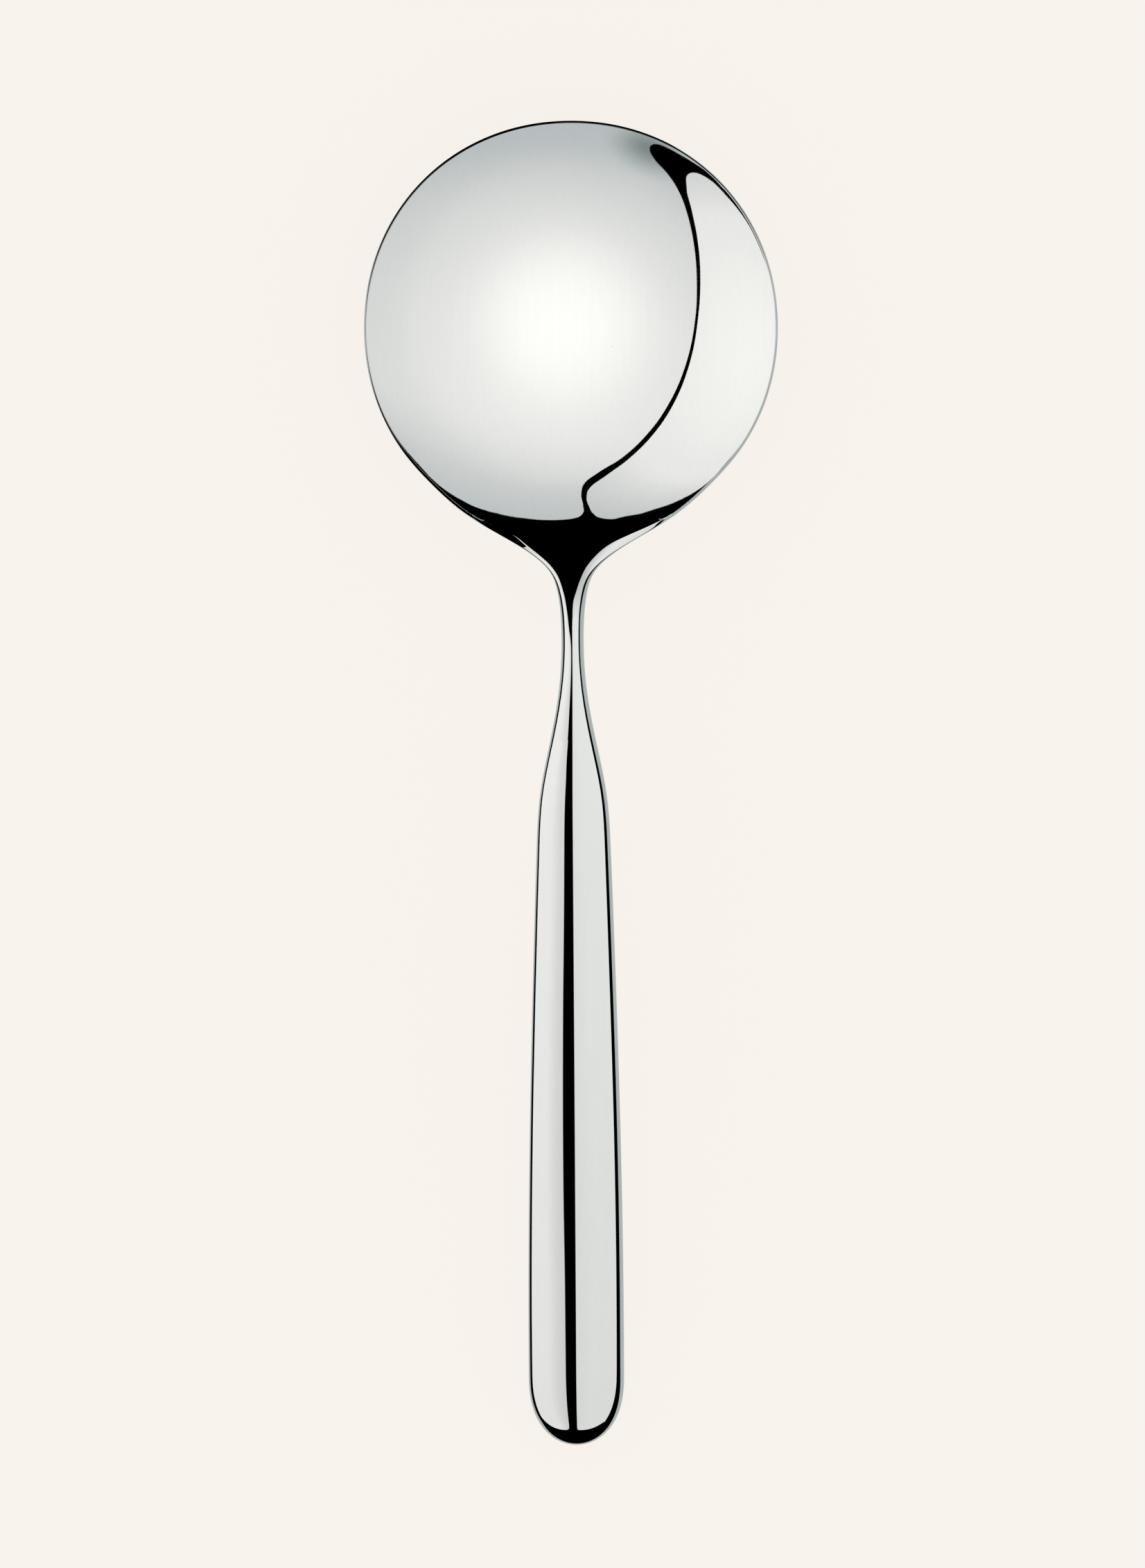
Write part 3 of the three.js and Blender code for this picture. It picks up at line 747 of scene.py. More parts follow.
def polished_metal(name, metal, roughness):
    """Steel or solder, ground and buffed to a mirror.

    It gives crisp shapes, with a faint haze, buffing lines and odd specks.
    """
    material = new_material(name)
    tree = material.node_tree
    place = node(tree, "ShaderNodeTexCoord", out="Object")
    haze = node(tree, "ShaderNodeTexNoise", {"Vector": place, "Scale": 1 / HAZE_SIZE, "Detail": 3.0})
    stretch = (1 / BUFF_LINE_WIDTH, 1 / BUFF_LINE_LENGTH, 1 / BUFF_LINE_WIDTH)
    along = node(tree, "ShaderNodeMapping", {"Vector": place, "Scale": stretch})
    lines = node(tree, "ShaderNodeTexNoise", {"Vector": along, "Scale": 1.0, "Detail": 1.0})
    spread = {"Vector": place, "Scale": 1 / SPECK_SPACING}
    cells = node(tree, "ShaderNodeTexVoronoi", spread, out="Distance")
    size = SPECK_RADIUS / SPECK_SPACING
    edge = {"Value": cells, "From Min": size / 2, "From Max": size, "To Min": 1.0, "To Max": 0.0}
    speck = node(tree, "ShaderNodeMapRange", edge, interpolation_type="SMOOTHSTEP")
    dull = {"Value": haze, "From Min": 0.3, "From Max": 0.7}
    dull["To Min"] = roughness * (1 - HAZE_SHARE)
    dull["To Max"] = roughness * (1 + HAZE_SHARE)
    rough = node(tree, "ShaderNodeMapRange", dull)
    lined = {0: lines, 1: roughness * 0.3, 2: rough}
    rough = node(tree, "ShaderNodeMath", lined, operation="MULTIPLY_ADD")
    specked = {0: speck, 1: SPECK_ROUGHNESS, 2: rough}
    rough = node(tree, "ShaderNodeMath", specked, operation="MULTIPLY_ADD")
    share = node(tree, "ShaderNodeMapRange", {"Value": lines, "From Min": 0.35, "From Max": 0.7})
    worn = {0: share, 6: tinted(metal, 1), 7: tinted(metal, WORN_SHARE)}
    tone = node(tree, "ShaderNodeMix", worn, out=2, data_type="RGBA")
    pitted = {0: speck, 6: tone, 7: tinted(metal, PIT_SHARE)}
    tone = node(tree, "ShaderNodeMix", pitted, out=2, data_type="RGBA")
    bump = node(tree, "ShaderNodeBump", {"Height": lines, "Strength": 1.0, "Distance": BUFF_LINE_DEPTH})
    look = {"Base Color": tone, "Metallic": 1.0, "Roughness": rough, "Normal": bump}
    shader = node(tree, "ShaderNodeBsdfPrincipled", look)
    node(tree, "ShaderNodeOutputMaterial", {"Surface": shader}, out=None)
    return material


def cast_cement(name, grey):
    """Mineral cement poured into the handle: dull and grainy, with small voids left by bubbles, and painted
    shade darkening the inside of each void.
    """
    material = new_material(name)
    tree = material.node_tree
    place = node(tree, "ShaderNodeTexCoord", out="Object")
    grain = node(tree, "ShaderNodeTexNoise", {"Vector": place, "Scale": 1 / CEMENT_GRAIN, "Detail": 4.0})
    spread = {"Vector": place, "Scale": 1 / CEMENT_VOID}
    bubbles = node(tree, "ShaderNodeTexVoronoi", spread, out="Distance")
    rim = {"Value": bubbles, "From Min": 0.1, "From Max": 0.22}
    solid = node(tree, "ShaderNodeMapRange", rim, interpolation_type="SMOOTHSTEP")
    grains = {0: grain, 6: tinted(grey, 0.75), 7: tinted(grey, 1.2)}
    tone = node(tree, "ShaderNodeMix", grains, out=2, data_type="RGBA")
    # Painted shade: inside each bubble void the cement's tone is darkened to four tenths
    voids = {0: solid, 6: tinted(grey, 0.4), 7: tone}
    tone = node(tree, "ShaderNodeMix", voids, out=2, data_type="RGBA")
    height = node(tree, "ShaderNodeMath", {0: grain, 1: 0.3, 2: solid}, operation="MULTIPLY_ADD")
    relief = {"Height": height, "Strength": 0.6, "Distance": CEMENT_GRAIN_DEPTH}
    bump = node(tree, "ShaderNodeBump", relief)
    look = {"Base Color": tone, "Roughness": 0.9, "Normal": bump}
    shader = node(tree, "ShaderNodeBsdfPrincipled", look)
    node(tree, "ShaderNodeOutputMaterial", {"Surface": shader}, out=None)
    return material


# Stage

# How bright the steel mirrors white
STEEL_BRIGHTNESS = 0.71

# Tones of the light sheets as the steel shows them: cool where they are dim, a little warm where bright
SHEET_TONES = (
    (0.0, "000000"), (0.35, "9ba3a3"), (0.5, "b8bebf"), (0.6, "cacdcc"),
    (0.7, "d9dbd9"), (0.8, "e8e8e6"), (0.9, "f5f5f1"), (1.0, "fffffc"),
)
# Hot spots of the sheets from above the bowl's middle, in heights of the sheets above the table
MAIN_HOT_SPOT = (0.05, -0.05, 0)
SIDE_HOT_SPOT = (-1.5, 0.3, 0)
# Reach of the light's fall round a hot spot and to the near and far end, in the same heights
SHEET_FALL_REACH = 2.4
SHEET_END_REACH = 2.0
SHEET_LEAN = (0.15, 1, 0)
# Dim corner of the main sheet: the place on the bowl that shows it, its reach in heights, and its light
DIM_CORNER = (0.015, 0.0337)
DIM_CORNER_REACH = 0.45
DIM_CORNER_SHARE = 0.45
SHEET_GAIN = 1.05
# How the sheets fall off round their hot spots, as shares of the reach, and from their near to their far end
MAIN_SHEET_FALL = (
    (0.0, 1.0), (0.085, 0.97), (0.17, 0.892), (0.25, 0.815), (0.33, 0.77), (0.44, 0.735), (0.58, 0.685),
    (0.75, 0.665), (1.0, 0.62),
)
MAIN_SHEET_ENDS = (
    (0.0, 0.68), (0.075, 0.70), (0.15, 0.715), (0.225, 0.785), (0.325, 0.867), (0.425, 0.918), (0.5, 0.952),
    (0.575, 0.974), (0.675, 0.996), (0.775, 0.932), (0.85, 0.844), (0.925, 0.805), (1.0, 0.79),
)
SIDE_SHEET_FALL = (
    (0.0, 0.89), (0.125, 0.88), (0.31, 0.84), (0.42, 0.805), (0.5, 0.79), (0.6, 0.70), (0.71, 0.62),
    (1.0, 0.5),
)
SIDE_SHEET_ENDS = ((0.0, 0.952), (1.0, 0.952))

# Edges of the two light sheets, as places on the bowl where the mirror shows them.
# They are given in millimetres from the bowl's middle.
MAIN_SHEET_EDGE = (
    (15.0, 33.6), (15.9, 31.7), (18.4, 28.9), (20.5, 25.6), (22.2, 20.9), (23.45, 14.5), (23.8, 8.5),
    (23.5, 2.0), (21.6, -7.0), (18.25, -14.5), (14.45, -19.8), (9.55, -24.4), (4.9, -27.3), (2.6, -29.0),
    (1.8, -31.0), (2.1, -33.5), (2.0, -35.0), (0.8, -35.8), (-2.4, -36.2), (-5.2, -36.2), (-9.3, -35.8),
    (-13.2, -35.1), (-17.3, -34.0), (-21.1, -32.2), (-24.2, -30.2), (-27.5, -27.1), (-31.6, -22.4),
    (-35.1, -17.3), (-40.0, -11.0), (-43.0, 5.0), (-40.0, 20.0), (-30.0, 33.0), (-15.0, 41.0), (2.0, 42.5),
    (15.0, 41.5), (25.0, 37.0), (31.0, 30.0), (29.6, 25.6), (26.3, 28.8), (24.5, 30.1), (22.7, 31.3),
    (20.7, 32.5), (18.3, 33.8), (16.2, 34.5), (15.3, 34.3),
)
SIDE_SHEET_EDGE = (
    (22.0, 26.0), (22.9, 22.2), (23.95, 16.9), (24.5, 10.2), (24.05, 2.0), (22.3, -7.0), (19.05, -14.8),
    (15.4, -20.1), (10.65, -24.8), (6.3, -28.0), (3.55, -30.0), (2.8, -31.9), (3.3, -33.8), (4.0, -35.0),
    (5.2, -35.8), (7.2, -36.1), (10.0, -35.6), (13.9, -34.8), (17.8, -33.6), (21.1, -32.2), (24.2, -30.4),
    (27.9, -27.0), (31.9, -22.2), (38.0, -12.0), (38.6, 3.0), (37.85, 8.05), (35.85, 14.3), (33.4, 19.4),
    (29.4, 24.65), (25.7, 28.1), (22.6, 29.0),
)


def mirrored(form, x, y, camera, height):
    """Where the bowl at plan place (x, y) from its middle shows the camera a level plane at that height."""

    def plain_top(across, along):
        return float(form.middle(across, along) + form.half_thickness(along))

    step = 1e-6
    along = form.bowl_y + y
    place = Vector((x, along, plain_top(x, along)))
    slope_x = (plain_top(x + step, along) - plain_top(x - step, along)) / (2 * step)
    slope_y = (plain_top(x, along + step) - plain_top(x, along - step)) / (2 * step)
    sight = (place - camera).normalized()
    ray = sight.reflect(Vector((-slope_x, -slope_y, 1)).normalized())
    return place + ray * ((height - place.z) / ray.z)


def sheet_glow(name, middle, hot_spot, height, fall, ends, corner):
    """Diffusing sheet lit from behind: brightest at its hot spot, falling off round it, one corner dim."""
    material = new_material(name)
    tree = material.node_tree
    place = node(tree, "ShaderNodeNewGeometry", out="Position")
    away = node(tree, "ShaderNodeVectorMath", {0: place, 1: hot_spot}, out="Value", operation="DISTANCE")
    share = node(tree, "ShaderNodeMath", {0: away, 1: SHEET_FALL_REACH * height}, operation="DIVIDE")
    light = node(tree, "ShaderNodeFloatCurve", {"Value": share}, points=fall)
    lean = {0: place, 1: SHEET_LEAN}
    along = node(tree, "ShaderNodeVectorMath", lean, out="Value", operation="DOT_PRODUCT")
    reach = SHEET_END_REACH * height
    span = {"Value": along, "From Min": middle.y - reach, "From Max": middle.y + reach}
    share = node(tree, "ShaderNodeMapRange", span)
    end = node(tree, "ShaderNodeFloatCurve", {"Value": share}, points=ends)
    away = node(tree, "ShaderNodeVectorMath", {0: place, 1: corner}, out="Value", operation="DISTANCE")
    near = {"Value": away, "From Min": 0.0, "From Max": DIM_CORNER_REACH * height}
    near["To Min"] = DIM_CORNER_SHARE * SHEET_GAIN
    near["To Max"] = SHEET_GAIN
    dim = node(tree, "ShaderNodeMapRange", near, interpolation_type="SMOOTHSTEP")
    for share in (end, dim):
        light = node(tree, "ShaderNodeMath", {0: light, 1: share}, operation="MULTIPLY")
    tone = node(tree, "ShaderNodeValToRGB", {0: light}, stops=SHEET_TONES)
    glow = {"Color": tone, "Strength": 1 / STEEL_BRIGHTNESS}
    shader = node(tree, "ShaderNodeEmission", glow)
    node(tree, "ShaderNodeOutputMaterial", {"Surface": shader}, out=None)
    material.cycles.emission_sampling = "NONE"
    return material


def make_sheet(form, name, edge, camera, height, material):
    """Flat light sheet, with its edge drawn so that its mirror image falls on these places of the bowl."""
    outline = bpy.data.curves.new(name, "CURVE")
    outline.dimensions = "2D"
    outline.fill_mode = "BOTH"
    spline = outline.splines.new("BEZIER")
    spline.bezier_points.add(len(edge) - 1)
    spline.use_cyclic_u = True
    for point, (x, y) in zip(spline.bezier_points, edge):
        spot = mirrored(form, x / 1000, y / 1000, camera, height)
        point.co = (spot.x, spot.y - form.bowl_y, 0)
        point.handle_left_type = point.handle_right_type = "AUTO"
    outline.materials.append(material)
    sheet = bpy.data.objects.new(name, outline)
    sheet.location = (0, form.bowl_y, height)
    bpy.context.scene.collection.objects.link(sheet)
    sheet.visible_camera = sheet.visible_diffuse = sheet.visible_shadow = False
    return sheet


def light_only(light, pieces):
    """Lets a light or a light sheet shine on these pieces alone."""
    group = bpy.data.collections.new(light.name)
    for piece in pieces:
        group.objects.link(piece)
    light.light_linking.receiver_collection = group


def area_light(name, width, depth, place):
    """Flat light of even strength, to be masked by its nodes."""
    data = bpy.data.lights.new(name, "AREA")
    data.shape = "RECTANGLE"
    data.size = width
    data.size_y = depth
    data.energy = math.pi * width * depth
    data.use_nodes = True
    data.node_tree.nodes.clear()
    light = bpy.data.objects.new(name, data)
    light.matrix_world = place
    bpy.context.scene.collection.objects.link(light)
    light.visible_camera = light.visible_diffuse = False
    return light


def shine(light, tone, strength, pieces):
    """Gives a light its tone and the strength along it, for these pieces alone."""
    tree = light.data.node_tree
    glow = {"Color": tinted(tone, 1 / STEEL_BRIGHTNESS), "Strength": strength}
    shader = node(tree, "ShaderNodeEmission", glow)
    node(tree, "ShaderNodeOutputLight", {"Surface": shader}, out=None)
    light_only(light, pieces)


# The cards stand round the bowl, low enough to be mirrored by its rim alone
CARD_TONE = "f4f8f7"
CARD_DISTANCE = 0.5
CARD_HEIGHT = 0.2
CARD_TURNS = {"right": 0, "far": 90, "left": 180, "near": 270}
# How brightly the rim mirrors the cards, from the bowl's left past the neck and the tip to the left again
CARD_GLOW = (
    (0.0, 0.68), (0.042, 0.68), (0.064, 0.5), (0.083, 0.15), (0.106, 0.0), (0.292, 0.0), (0.308, 0.5),
    (0.333, 0.6), (0.408, 0.56), (0.444, 0.58), (0.472, 0.62), (0.5, 0.66), (0.542, 0.75), (0.583, 0.83),
    (0.611, 0.83), (0.633, 0.5), (0.658, 0.45), (0.683, 0.25), (0.708, 0.12), (0.75, 0.10), (0.778, 0.01),
    (0.819, 0.01), (0.856, 0.12), (0.889, 0.25), (0.917, 0.33), (0.958, 0.56), (1.0, 0.68),
)


def make_card(form, name, turn, pieces):
    """Low card at this angle round the bowl, with light that changes along it."""
    middle = Matrix.Translation((0, form.bowl_y, CARD_HEIGHT / 2)) @ Matrix.Rotation(turn, 4, "Z")
    outward = Matrix.Translation((CARD_DISTANCE, 0, 0)) @ Matrix.Rotation(math.pi / 2, 4, "Y")
    card = area_light(name, CARD_HEIGHT, 2 * CARD_DISTANCE, middle @ outward)
    tree = card.data.node_tree
    place = node(tree, "ShaderNodeNewGeometry", out="Position")
    away = node(tree, "ShaderNodeVectorMath", {0: place, 1: (0, form.bowl_y, 0)}, operation="SUBTRACT")
    away = node(tree, "ShaderNodeSeparateXYZ", {0: away}, out=None)
    angle = node(tree, "ShaderNodeMath", {0: away["Y"], 1: away["X"]}, operation="ARCTAN2")
    around = {"Value": angle, "From Min": -math.pi, "From Max": math.pi}
    share = node(tree, "ShaderNodeMapRange", around)
    strength = node(tree, "ShaderNodeFloatCurve", {"Value": share}, points=CARD_GLOW)
    shine(card, linear(CARD_TONE), strength, pieces)


# The softboxes hang over the neck and the handle and slope down to each side.
# Their inner and outer sides are given as distance to the right of the handle's middle, and height.
LEFT_PANEL_TONE = "e5e5e3"
LEFT_PANEL_INNER = (0.0, 0.3)
LEFT_PANEL_OUTER = (-0.8, -0.1)
RIGHT_PANEL_TONE = "dddfdd"
RIGHT_PANEL_INNER = (-0.2, 0.335)
RIGHT_PANEL_OUTER = (0.6, 0.195)
PANEL_EDGE_BLUR = 0.003
# How far a softbox brightens from its inner edge
PANEL_SOFT_REACH = 0.12
# Where along the table the softboxes brighten and by how much, and where their far end dims
PANEL_NEAR_START, PANEL_NEAR_END = -0.3, 0.05
PANEL_NEAR_SHARE, PANEL_MIDDLE_SHARE = 0.95, 1.06
PANEL_FAR_START, PANEL_FAR_END = 0.1, 0.33

# Inner edges of the softboxes: place along the table, and distance to the right of the handle's middle
LEFT_PANEL_EDGE = (
    (-0.72, -0.13), (-0.68, -0.10), (-0.6, -0.083), (-0.5, -0.073), (-0.3, -0.061), (-0.22, -0.060),
    (-0.16, -0.0665), (-0.1, -0.069), (-0.05, -0.066), (0.0, -0.066), (0.02, -0.075), (0.40, -0.08),
)
NECK_PANEL_EDGE = (
    (-0.25, -0.35), (-0.2, -0.31), (-0.1, -0.235), (0.0, -0.165), (0.018, -0.150), (0.0225, -0.081),
    (0.0285, -0.083), (0.036, -0.105), (0.044, -0.130), (0.06, -0.180), (0.10, -0.235), (0.14, -0.275),
    (0.18, -0.305), (0.21, -0.36), (0.24, -0.6),
)
RIGHT_PANEL_EDGE = (
    (-0.95, 0.6), (-0.87, 0.56), (-0.83, 0.46), (-0.808, 0.33), (-0.79, 0.02), (-0.70, 0.008), (-0.5, 0.003),
    (-0.3, 0.0), (-0.1, -0.003), (0.0, -0.007), (0.02, -0.008), (0.032, -0.012), (0.06, -0.018),
    (0.085, -0.015), (0.11, 0.0), (0.13, 0.008), (0.17, 0.016), (0.212, 0.04), (0.25, 0.09), (0.28, 0.14),
    (0.30, 0.165), (0.32, 0.19), (0.335, 0.22), (0.345, 0.6),
)


def make_panel(name, tone, inner, outer, edge, inner_share, far_share, pieces):
    """Softbox between two places across the table, masked to its inner edge and a little dimmer along it."""
    near_y, far_y = edge[0][0], edge[-1][0]
    across = Vector((outer[0] - inner[0], 0, outer[1] - inner[1]))
    along = Vector((0, far_y - near_y, 0))
    level, forward = across.normalized(), along.normalized()
    up = level.cross(forward)
    if up.z < 0:
        level, up = -level, -up
    turn = Matrix((level, forward, up)).transposed().to_4x4()
    middle = Vector((inner[0], (near_y + far_y) / 2, inner[1])) + across / 2
    panel = area_light(name, across.length, along.length, Matrix.Translation(middle) @ turn)
    tree = panel.data.node_tree
    place = node(tree, "ShaderNodeNewGeometry", out="Position")
    place = node(tree, "ShaderNodeSeparateXYZ", {0: place}, out=None)
    low, high = min(inner[0], outer[0]), max(inner[0], outer[0])
    span = {"Value": place["Y"], "From Min": near_y, "From Max": far_y}
    share = node(tree, "ShaderNodeMapRange", span)
    points = [((y - near_y) / (far_y - near_y), (x - low) / (high - low)) for y, x in edge]
    line = node(tree, "ShaderNodeFloatCurve", {"Value": share}, points=points)
    line = node(tree, "ShaderNodeMapRange", {"Value": line, "To Min": low, "To Max": high})
    past = node(tree, "ShaderNodeMath", {0: place["X"], 1: line}, operation="SUBTRACT")
    outward = math.copysign(1, outer[0])
    past = node(tree, "ShaderNodeMath", {0: past, 1: outward}, operation="MULTIPLY")
    lit = {"Value": past, "From Min": -PANEL_EDGE_BLUR / 2, "From Max": PANEL_EDGE_BLUR / 2}
    strength = node(tree, "ShaderNodeMapRange", lit)
    soft = {"Value": past, "From Min": 0.0, "From Max": PANEL_SOFT_REACH}
    soft["To Min"] = inner_share
    soft["To Max"] = 1.0
    soft = node(tree, "ShaderNodeMapRange", soft, interpolation_type="SMOOTHSTEP")
    near = {"Value": place["Y"], "From Min": PANEL_NEAR_START, "From Max": PANEL_NEAR_END}
    near["To Min"] = PANEL_NEAR_SHARE
    near["To Max"] = PANEL_MIDDLE_SHARE
    near = node(tree, "ShaderNodeMapRange", near)
    far = {"Value": place["Y"], "From Min": PANEL_FAR_START, "From Max": PANEL_FAR_END}
    far["To Min"] = 1.0
    far["To Max"] = far_share
    far = node(tree, "ShaderNodeMapRange", far)
    for share in (soft, near, far):
        strength = node(tree, "ShaderNodeMath", {0: strength, 1: share}, operation="MULTIPLY")
    shine(panel, linear(tone), strength, pieces)


def make_world():
    """Even white light on the table, and a dark room for the mirror of the steel."""
    world = bpy.data.worlds.new("pale_studio")
    world.use_nodes = True
    tree = world.node_tree
    tree.nodes.clear()
    mirror = node(tree, "ShaderNodeLightPath", out="Is Glossy Ray")
    light = node(tree, "ShaderNodeMapRange", {"Value": mirror, "To Min": 1.0, "To Max": 0.0})
    air = node(tree, "ShaderNodeBackground", {"Color": (1, 1, 1, 1), "Strength": light})
    node(tree, "ShaderNodeOutputWorld", {"Surface": air}, out=None)
    bpy.context.scene.world = world


TABLE_REACH = 3.0
# Share of the table's tone that is its own flat light
TABLE_GLOW = 0.93
FLOOR_DEPTH = 0.0002
MIRRORED_FLOOR_DEPTH = 0.0004


def pale_table(name, tone):
    """Matt white table under even light: mostly its own flat tone, with a faint shadow round the spoon."""
    material = new_material(name)
    tree = material.node_tree
    flat = node(tree, "ShaderNodeEmission", {"Color": tinted(tone, 1)})
    shaded = node(tree, "ShaderNodeBsdfDiffuse", {"Color": tinted(tone, 1)})
    both = node(tree, "ShaderNodeMixShader", {0: TABLE_GLOW, 1: shaded, 2: flat})
    node(tree, "ShaderNodeOutputMaterial", {"Surface": both}, out=None)
    material.cycles.emission_sampling = "NONE"
    return material


# Painted reflection: how brightly the table's flat glow is painted to the left of the bowl, for the steel to
# mirror.
# The stretch runs from beyond the handle's end to beyond the bowl's tip, and half its length is given first.
LEFT_TABLE_HALF = 0.15
LEFT_TABLE_GLOW = (
    (0.0, 0.0), (0.60, 0.0), (0.68, 0.25), (0.75, 0.95), (0.79, 1.0), (0.84, 0.7), (0.90, 0.25), (0.95, 0.0),
    (1.0, 0.0),
)
# Sides of the bright part painted into the table's reflection.
# Each has the direction across it, and where dark ends and bright starts.
BRIGHT_TABLE_SIDES = (
    ((1, 0.22, 0), -0.0462, -0.0432),
    ((1, -0.6, 0), -0.054, -0.050),
    ((-1, 0.8, 0), -0.24, -0.22),
    ((0, 1, 0), -0.130, -0.1285),
    ((0, -1, 0), -0.160, -0.122),
)
# Left side of the table as the steel mirrors it, beyond which the softbox reaches below it
TABLE_LEFT_SIDE = ((-0.19, 0.07), (-0.062, 0.055), (-0.06, -0.03), (-0.08, -0.12))


def paint_table_reflection(name, tone):
    """Painted reflection of the table: a flat glow in the board tone that the steel mirrors, grey near the
    spoon and to the left of the bowl, dark elsewhere.
    """
    material = new_material(name)
    tree = material.node_tree
    place = node(tree, "ShaderNodeNewGeometry", out="Position")
    strength = 1.0
    for across, start, end in BRIGHT_TABLE_SIDES:
        lean = {0: place, 1: across}
        near = node(tree, "ShaderNodeVectorMath", lean, out="Value", operation="DOT_PRODUCT")
        near = node(tree, "ShaderNodeMapRange", {"Value": near, "From Min": start, "From Max": end})
        strength = node(tree, "ShaderNodeMath", {0: near, 1: strength}, operation="MULTIPLY")
    along = node(tree, "ShaderNodeSeparateXYZ", {0: place}, out="Y")
    span = {"Value": along, "From Min": -LEFT_TABLE_HALF, "From Max": LEFT_TABLE_HALF}
    share = node(tree, "ShaderNodeMapRange", span)
    beside = node(tree, "ShaderNodeFloatCurve", {"Value": share}, points=LEFT_TABLE_GLOW)
    strength = node(tree, "ShaderNodeMath", {0: beside, 1: strength}, operation="MAXIMUM")
    # Painted reflection: the table's tone is given as its own flat glow, in stretches, in place of light
    # falling on it
    flat = node(tree, "ShaderNodeEmission", {"Color": tinted(tone, 1), "Strength": strength})
    node(tree, "ShaderNodeOutputMaterial", {"Surface": flat}, out=None)
    material.cycles.emission_sampling = "NONE"
    return material


def make_table(name, material, depth, left_side, seen):
    """Flat table with the given left side, for the camera where it is seen and else for the mirror."""
    data = bpy.data.meshes.new(name)
    reach = TABLE_REACH
    left = ((left_side[0][0], reach), *left_side, (left_side[-1][0], -reach))
    corners = (*left, (reach, -reach), (reach, reach))
    data.from_pydata([(*corner, -depth) for corner in corners], [], [range(len(corners))])
    data.materials.append(material)
    table = bpy.data.objects.new(name, data)
    bpy.context.scene.collection.objects.link(table)
    table.visible_camera = seen
    table.visible_glossy = not seen


SENSOR_HEIGHT = 36
# Height over the table at which the picture's height is taken
PICTURE_LEVEL = 0.010
CAMERA_ASIDE = -0.00016
CAMERA_TURN = math.radians(-0.3)


def make_camera(stage):
    """Camera straight above the spoon, turned a little as in the picture."""
    data = bpy.data.cameras.new("camera")
    data.sensor_fit = "VERTICAL"
    data.sensor_height = SENSOR_HEIGHT
    data.lens = SENSOR_HEIGHT * (stage.camera_height - PICTURE_LEVEL) / stage.picture_height
    camera = bpy.data.objects.new("camera", data)
    camera.location = (CAMERA_ASIDE, 0, stage.camera_height)
    camera.rotation_euler = (0, 0, CAMERA_TURN)
    bpy.context.scene.collection.objects.link(camera)
    bpy.context.scene.camera = camera
    return camera


# Operators


def dress(piece, node_name):
    """Puts a piece in the place of the solid of that name."""
    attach(piece, "root")
    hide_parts(node_name)


class SPOON_OT_bowl(bpy.types.Operator):
    """Add the pressed bowl"""

    bl_idname = "spoon.bowl"
    bl_label = "Bowl"

    def execute(self, context):
        steel = context.scene.spoon_finish.steel
        material = polished_metal("stainless_steel_buffed_bowl", steel, STEEL_ROUGHNESS)
        dress(make_bowl(SpoonForm(context.scene.spoon_sizes), material), "bowl")
        return {"FINISHED"}


class SPOON_OT_neck(bpy.types.Operator):
    """Add the forged neck with its tang, and the weld that joins it to the bowl"""

    bl_idname = "spoon.neck"
    bl_label = "Neck and Weld"

    def execute(self, context):
        form = SpoonForm(context.scene.spoon_sizes)
        steel = context.scene.spoon_finish.steel
        material = polished_metal("stainless_steel_buffed_neck", steel, STEEL_ROUGHNESS)
        dress(make_weld(form, material), "bowl_weld")
        dress(make_shank(form, material), "neck_shank")
        return {"FINISHED"}


class SPOON_OT_shells(bpy.types.Operator):
    """Add the two pressed shells of the handle"""

    bl_idname = "spoon.shells"
    bl_label = "Handle Shells"

    def execute(self, context):
        form = SpoonForm(context.scene.spoon_sizes)
        steel = context.scene.spoon_finish.steel
        material = polished_metal("stainless_steel_buffed_handle", steel, STEEL_ROUGHNESS)
        for name, side in (("upper", 1), ("lower", -1)):
            shell = make_shell(form, material, f"polished_{name}_shell", side)
            dress(shell, f"handle_{name}_shell")
        return {"FINISHED"}


class SPOON_OT_solder(bpy.types.Operator):
    """Add the solder in the handle's mouth and side seam"""

    bl_idname = "spoon.solder"
    bl_label = "Solder"

    def execute(self, context):
        form = SpoonForm(context.scene.spoon_sizes)
        solder = context.scene.spoon_finish.solder
        material = polished_metal("silver_solder_buffed", solder, SOLDER_ROUGHNESS)
        dress(make_mouth_solder(form, material), "mouth_solder")
        dress(make_seam(form, material), "seam_solder")
        return {"FINISHED"}


class SPOON_OT_filler(bpy.types.Operator):
    """Give the cement inside the handle its finish"""

    bl_idname = "spoon.filler"
    bl_label = "Handle Cement"

    def execute(self, context):
        data = frame["nodes"]["handle_filler"].data
        data.materials.clear()
        data.materials.append(cast_cement("handle_cement_cast", context.scene.spoon_finish.cement))
        return {"FINISHED"}


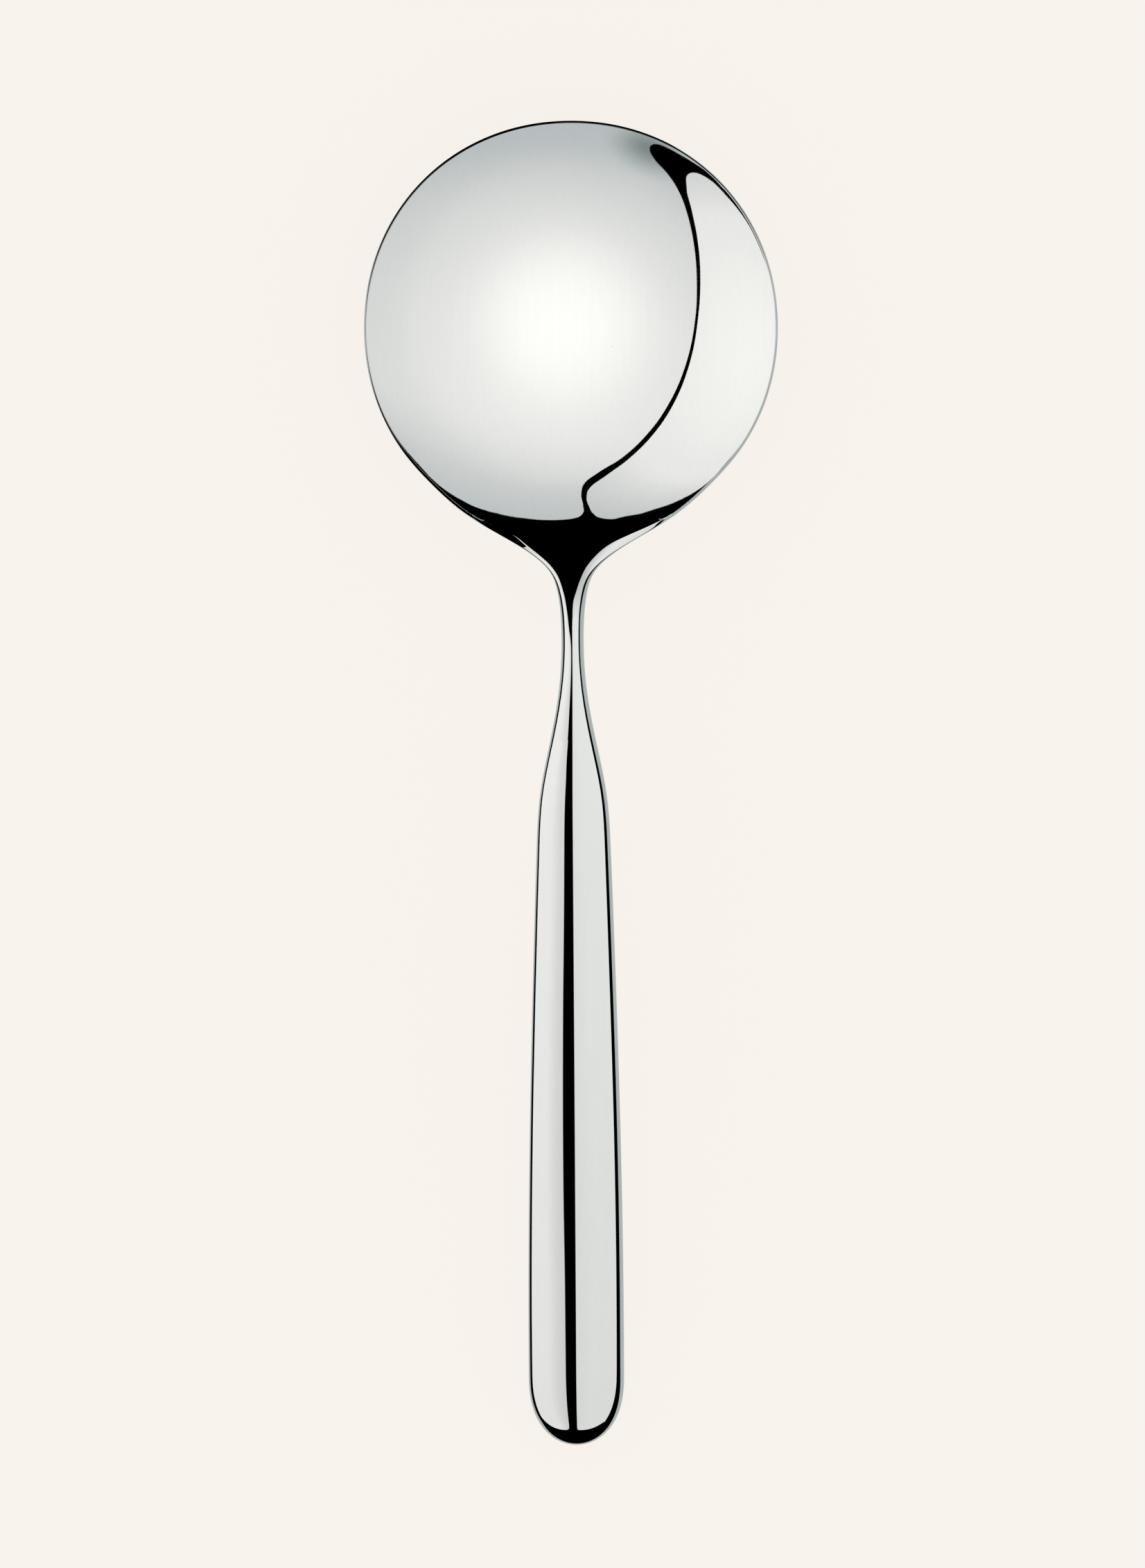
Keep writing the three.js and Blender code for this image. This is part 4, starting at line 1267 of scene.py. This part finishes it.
class SPOON_OT_stage(bpy.types.Operator):
    """Add the pale table, the lights and the camera"""

    bl_idname = "spoon.stage"
    bl_label = "Studio"

    def execute(self, context):
        stage = context.scene.spoon_stage
        form = SpoonForm(context.scene.spoon_sizes)
        camera = make_camera(stage)
        make_world()
        context.scene.view_settings.view_transform = "Standard"
        objects = bpy.data.objects
        bowl = [objects["polished_bowl"]]
        neck = [objects["polished_" + name] for name in ("bowl_weld", "neck_shank")]
        names = ("mouth_solder", "upper_shell", "lower_shell", "seam_solder")
        handle = [objects["polished_" + name] for name in names]
        floor = pale_table("white_table_matt", stage.floor)
        make_table("floor", floor, FLOOR_DEPTH, ((-TABLE_REACH, 0),), True)
        # The table under the floor is a painted reflection: a flat glow, bright and dark in stretches, for
        # the mirror alone
        floor_reflection_painted = paint_table_reflection("table_reflection_painted_glow", stage.board)
        make_table("floor_reflection_painted", floor_reflection_painted, MIRRORED_FLOOR_DEPTH, TABLE_LEFT_SIDE, False)
        height = stage.sheet_height
        eye = camera.location
        middle = Vector((0, form.bowl_y, height))
        corner = mirrored(form, *DIM_CORNER, eye, height)
        out_of_reach = middle + Vector((0, 0, 2))
        sheets = (
            ("main_sheet", MAIN_HOT_SPOT, MAIN_SHEET_FALL, MAIN_SHEET_ENDS, corner, MAIN_SHEET_EDGE),
            ("side_sheet", SIDE_HOT_SPOT, SIDE_SHEET_FALL, SIDE_SHEET_ENDS, out_of_reach, SIDE_SHEET_EDGE),
        )
        for name, spot, fall, ends, dim, edge in sheets:
            hot_spot = middle + Vector(spot) * height
            glow = sheet_glow(name, middle, hot_spot, height, fall, ends, dim)
            light_only(make_sheet(form, name, edge, eye, height, glow), bowl)
        for side, turn in CARD_TURNS.items():
            make_card(form, side + "_card", math.radians(turn), bowl)
        left = (LEFT_PANEL_TONE, LEFT_PANEL_INNER, LEFT_PANEL_OUTER)
        right = (RIGHT_PANEL_TONE, RIGHT_PANEL_INNER, RIGHT_PANEL_OUTER)
        make_panel("left_panel", *left, LEFT_PANEL_EDGE, inner_share=0.8, far_share=1.0, pieces=handle)
        make_panel("neck_panel", *left, NECK_PANEL_EDGE, inner_share=0.8, far_share=0.85, pieces=neck)
        both = neck + handle
        make_panel("right_panel", *right, RIGHT_PANEL_EDGE, inner_share=0.96, far_share=0.63, pieces=both)
        return {"FINISHED"}


class SPOON_PT_parts(bpy.types.Panel):
    """Lists the spoon's pieces and its studio"""

    bl_idname = "SPOON_PT_parts"
    bl_label = "Serving Spoon"
    bl_space_type = "VIEW_3D"
    bl_region_type = "UI"
    bl_category = "Spoon"

    def draw(self, context):
        for operator in OPERATORS:
            self.layout.operator(operator.bl_idname)


PROPERTIES = {"spoon_sizes": SpoonSizes, "spoon_finish": SpoonFinish, "spoon_stage": SpoonStage}
OPERATORS = (SPOON_OT_bowl, SPOON_OT_neck, SPOON_OT_shells, SPOON_OT_solder, SPOON_OT_filler, SPOON_OT_stage)


def register():
    for name, group in PROPERTIES.items():
        bpy.utils.register_class(group)
        setattr(bpy.types.Scene, name, bpy.props.PointerProperty(type=group))
    for operator in OPERATORS:
        bpy.utils.register_class(operator)
    bpy.utils.register_class(SPOON_PT_parts)


def unregister():
    bpy.utils.unregister_class(SPOON_PT_parts)
    for operator in reversed(OPERATORS):
        bpy.utils.unregister_class(operator)
    for name, group in reversed(PROPERTIES.items()):
        delattr(bpy.types.Scene, name)
        bpy.utils.unregister_class(group)


def main():
    register()
    bpy.ops.spoon.bowl()
    bpy.ops.spoon.neck()
    bpy.ops.spoon.shells()
    bpy.ops.spoon.solder()
    bpy.ops.spoon.filler()
    bpy.ops.spoon.stage()


if __name__ == "__main__":
    main()
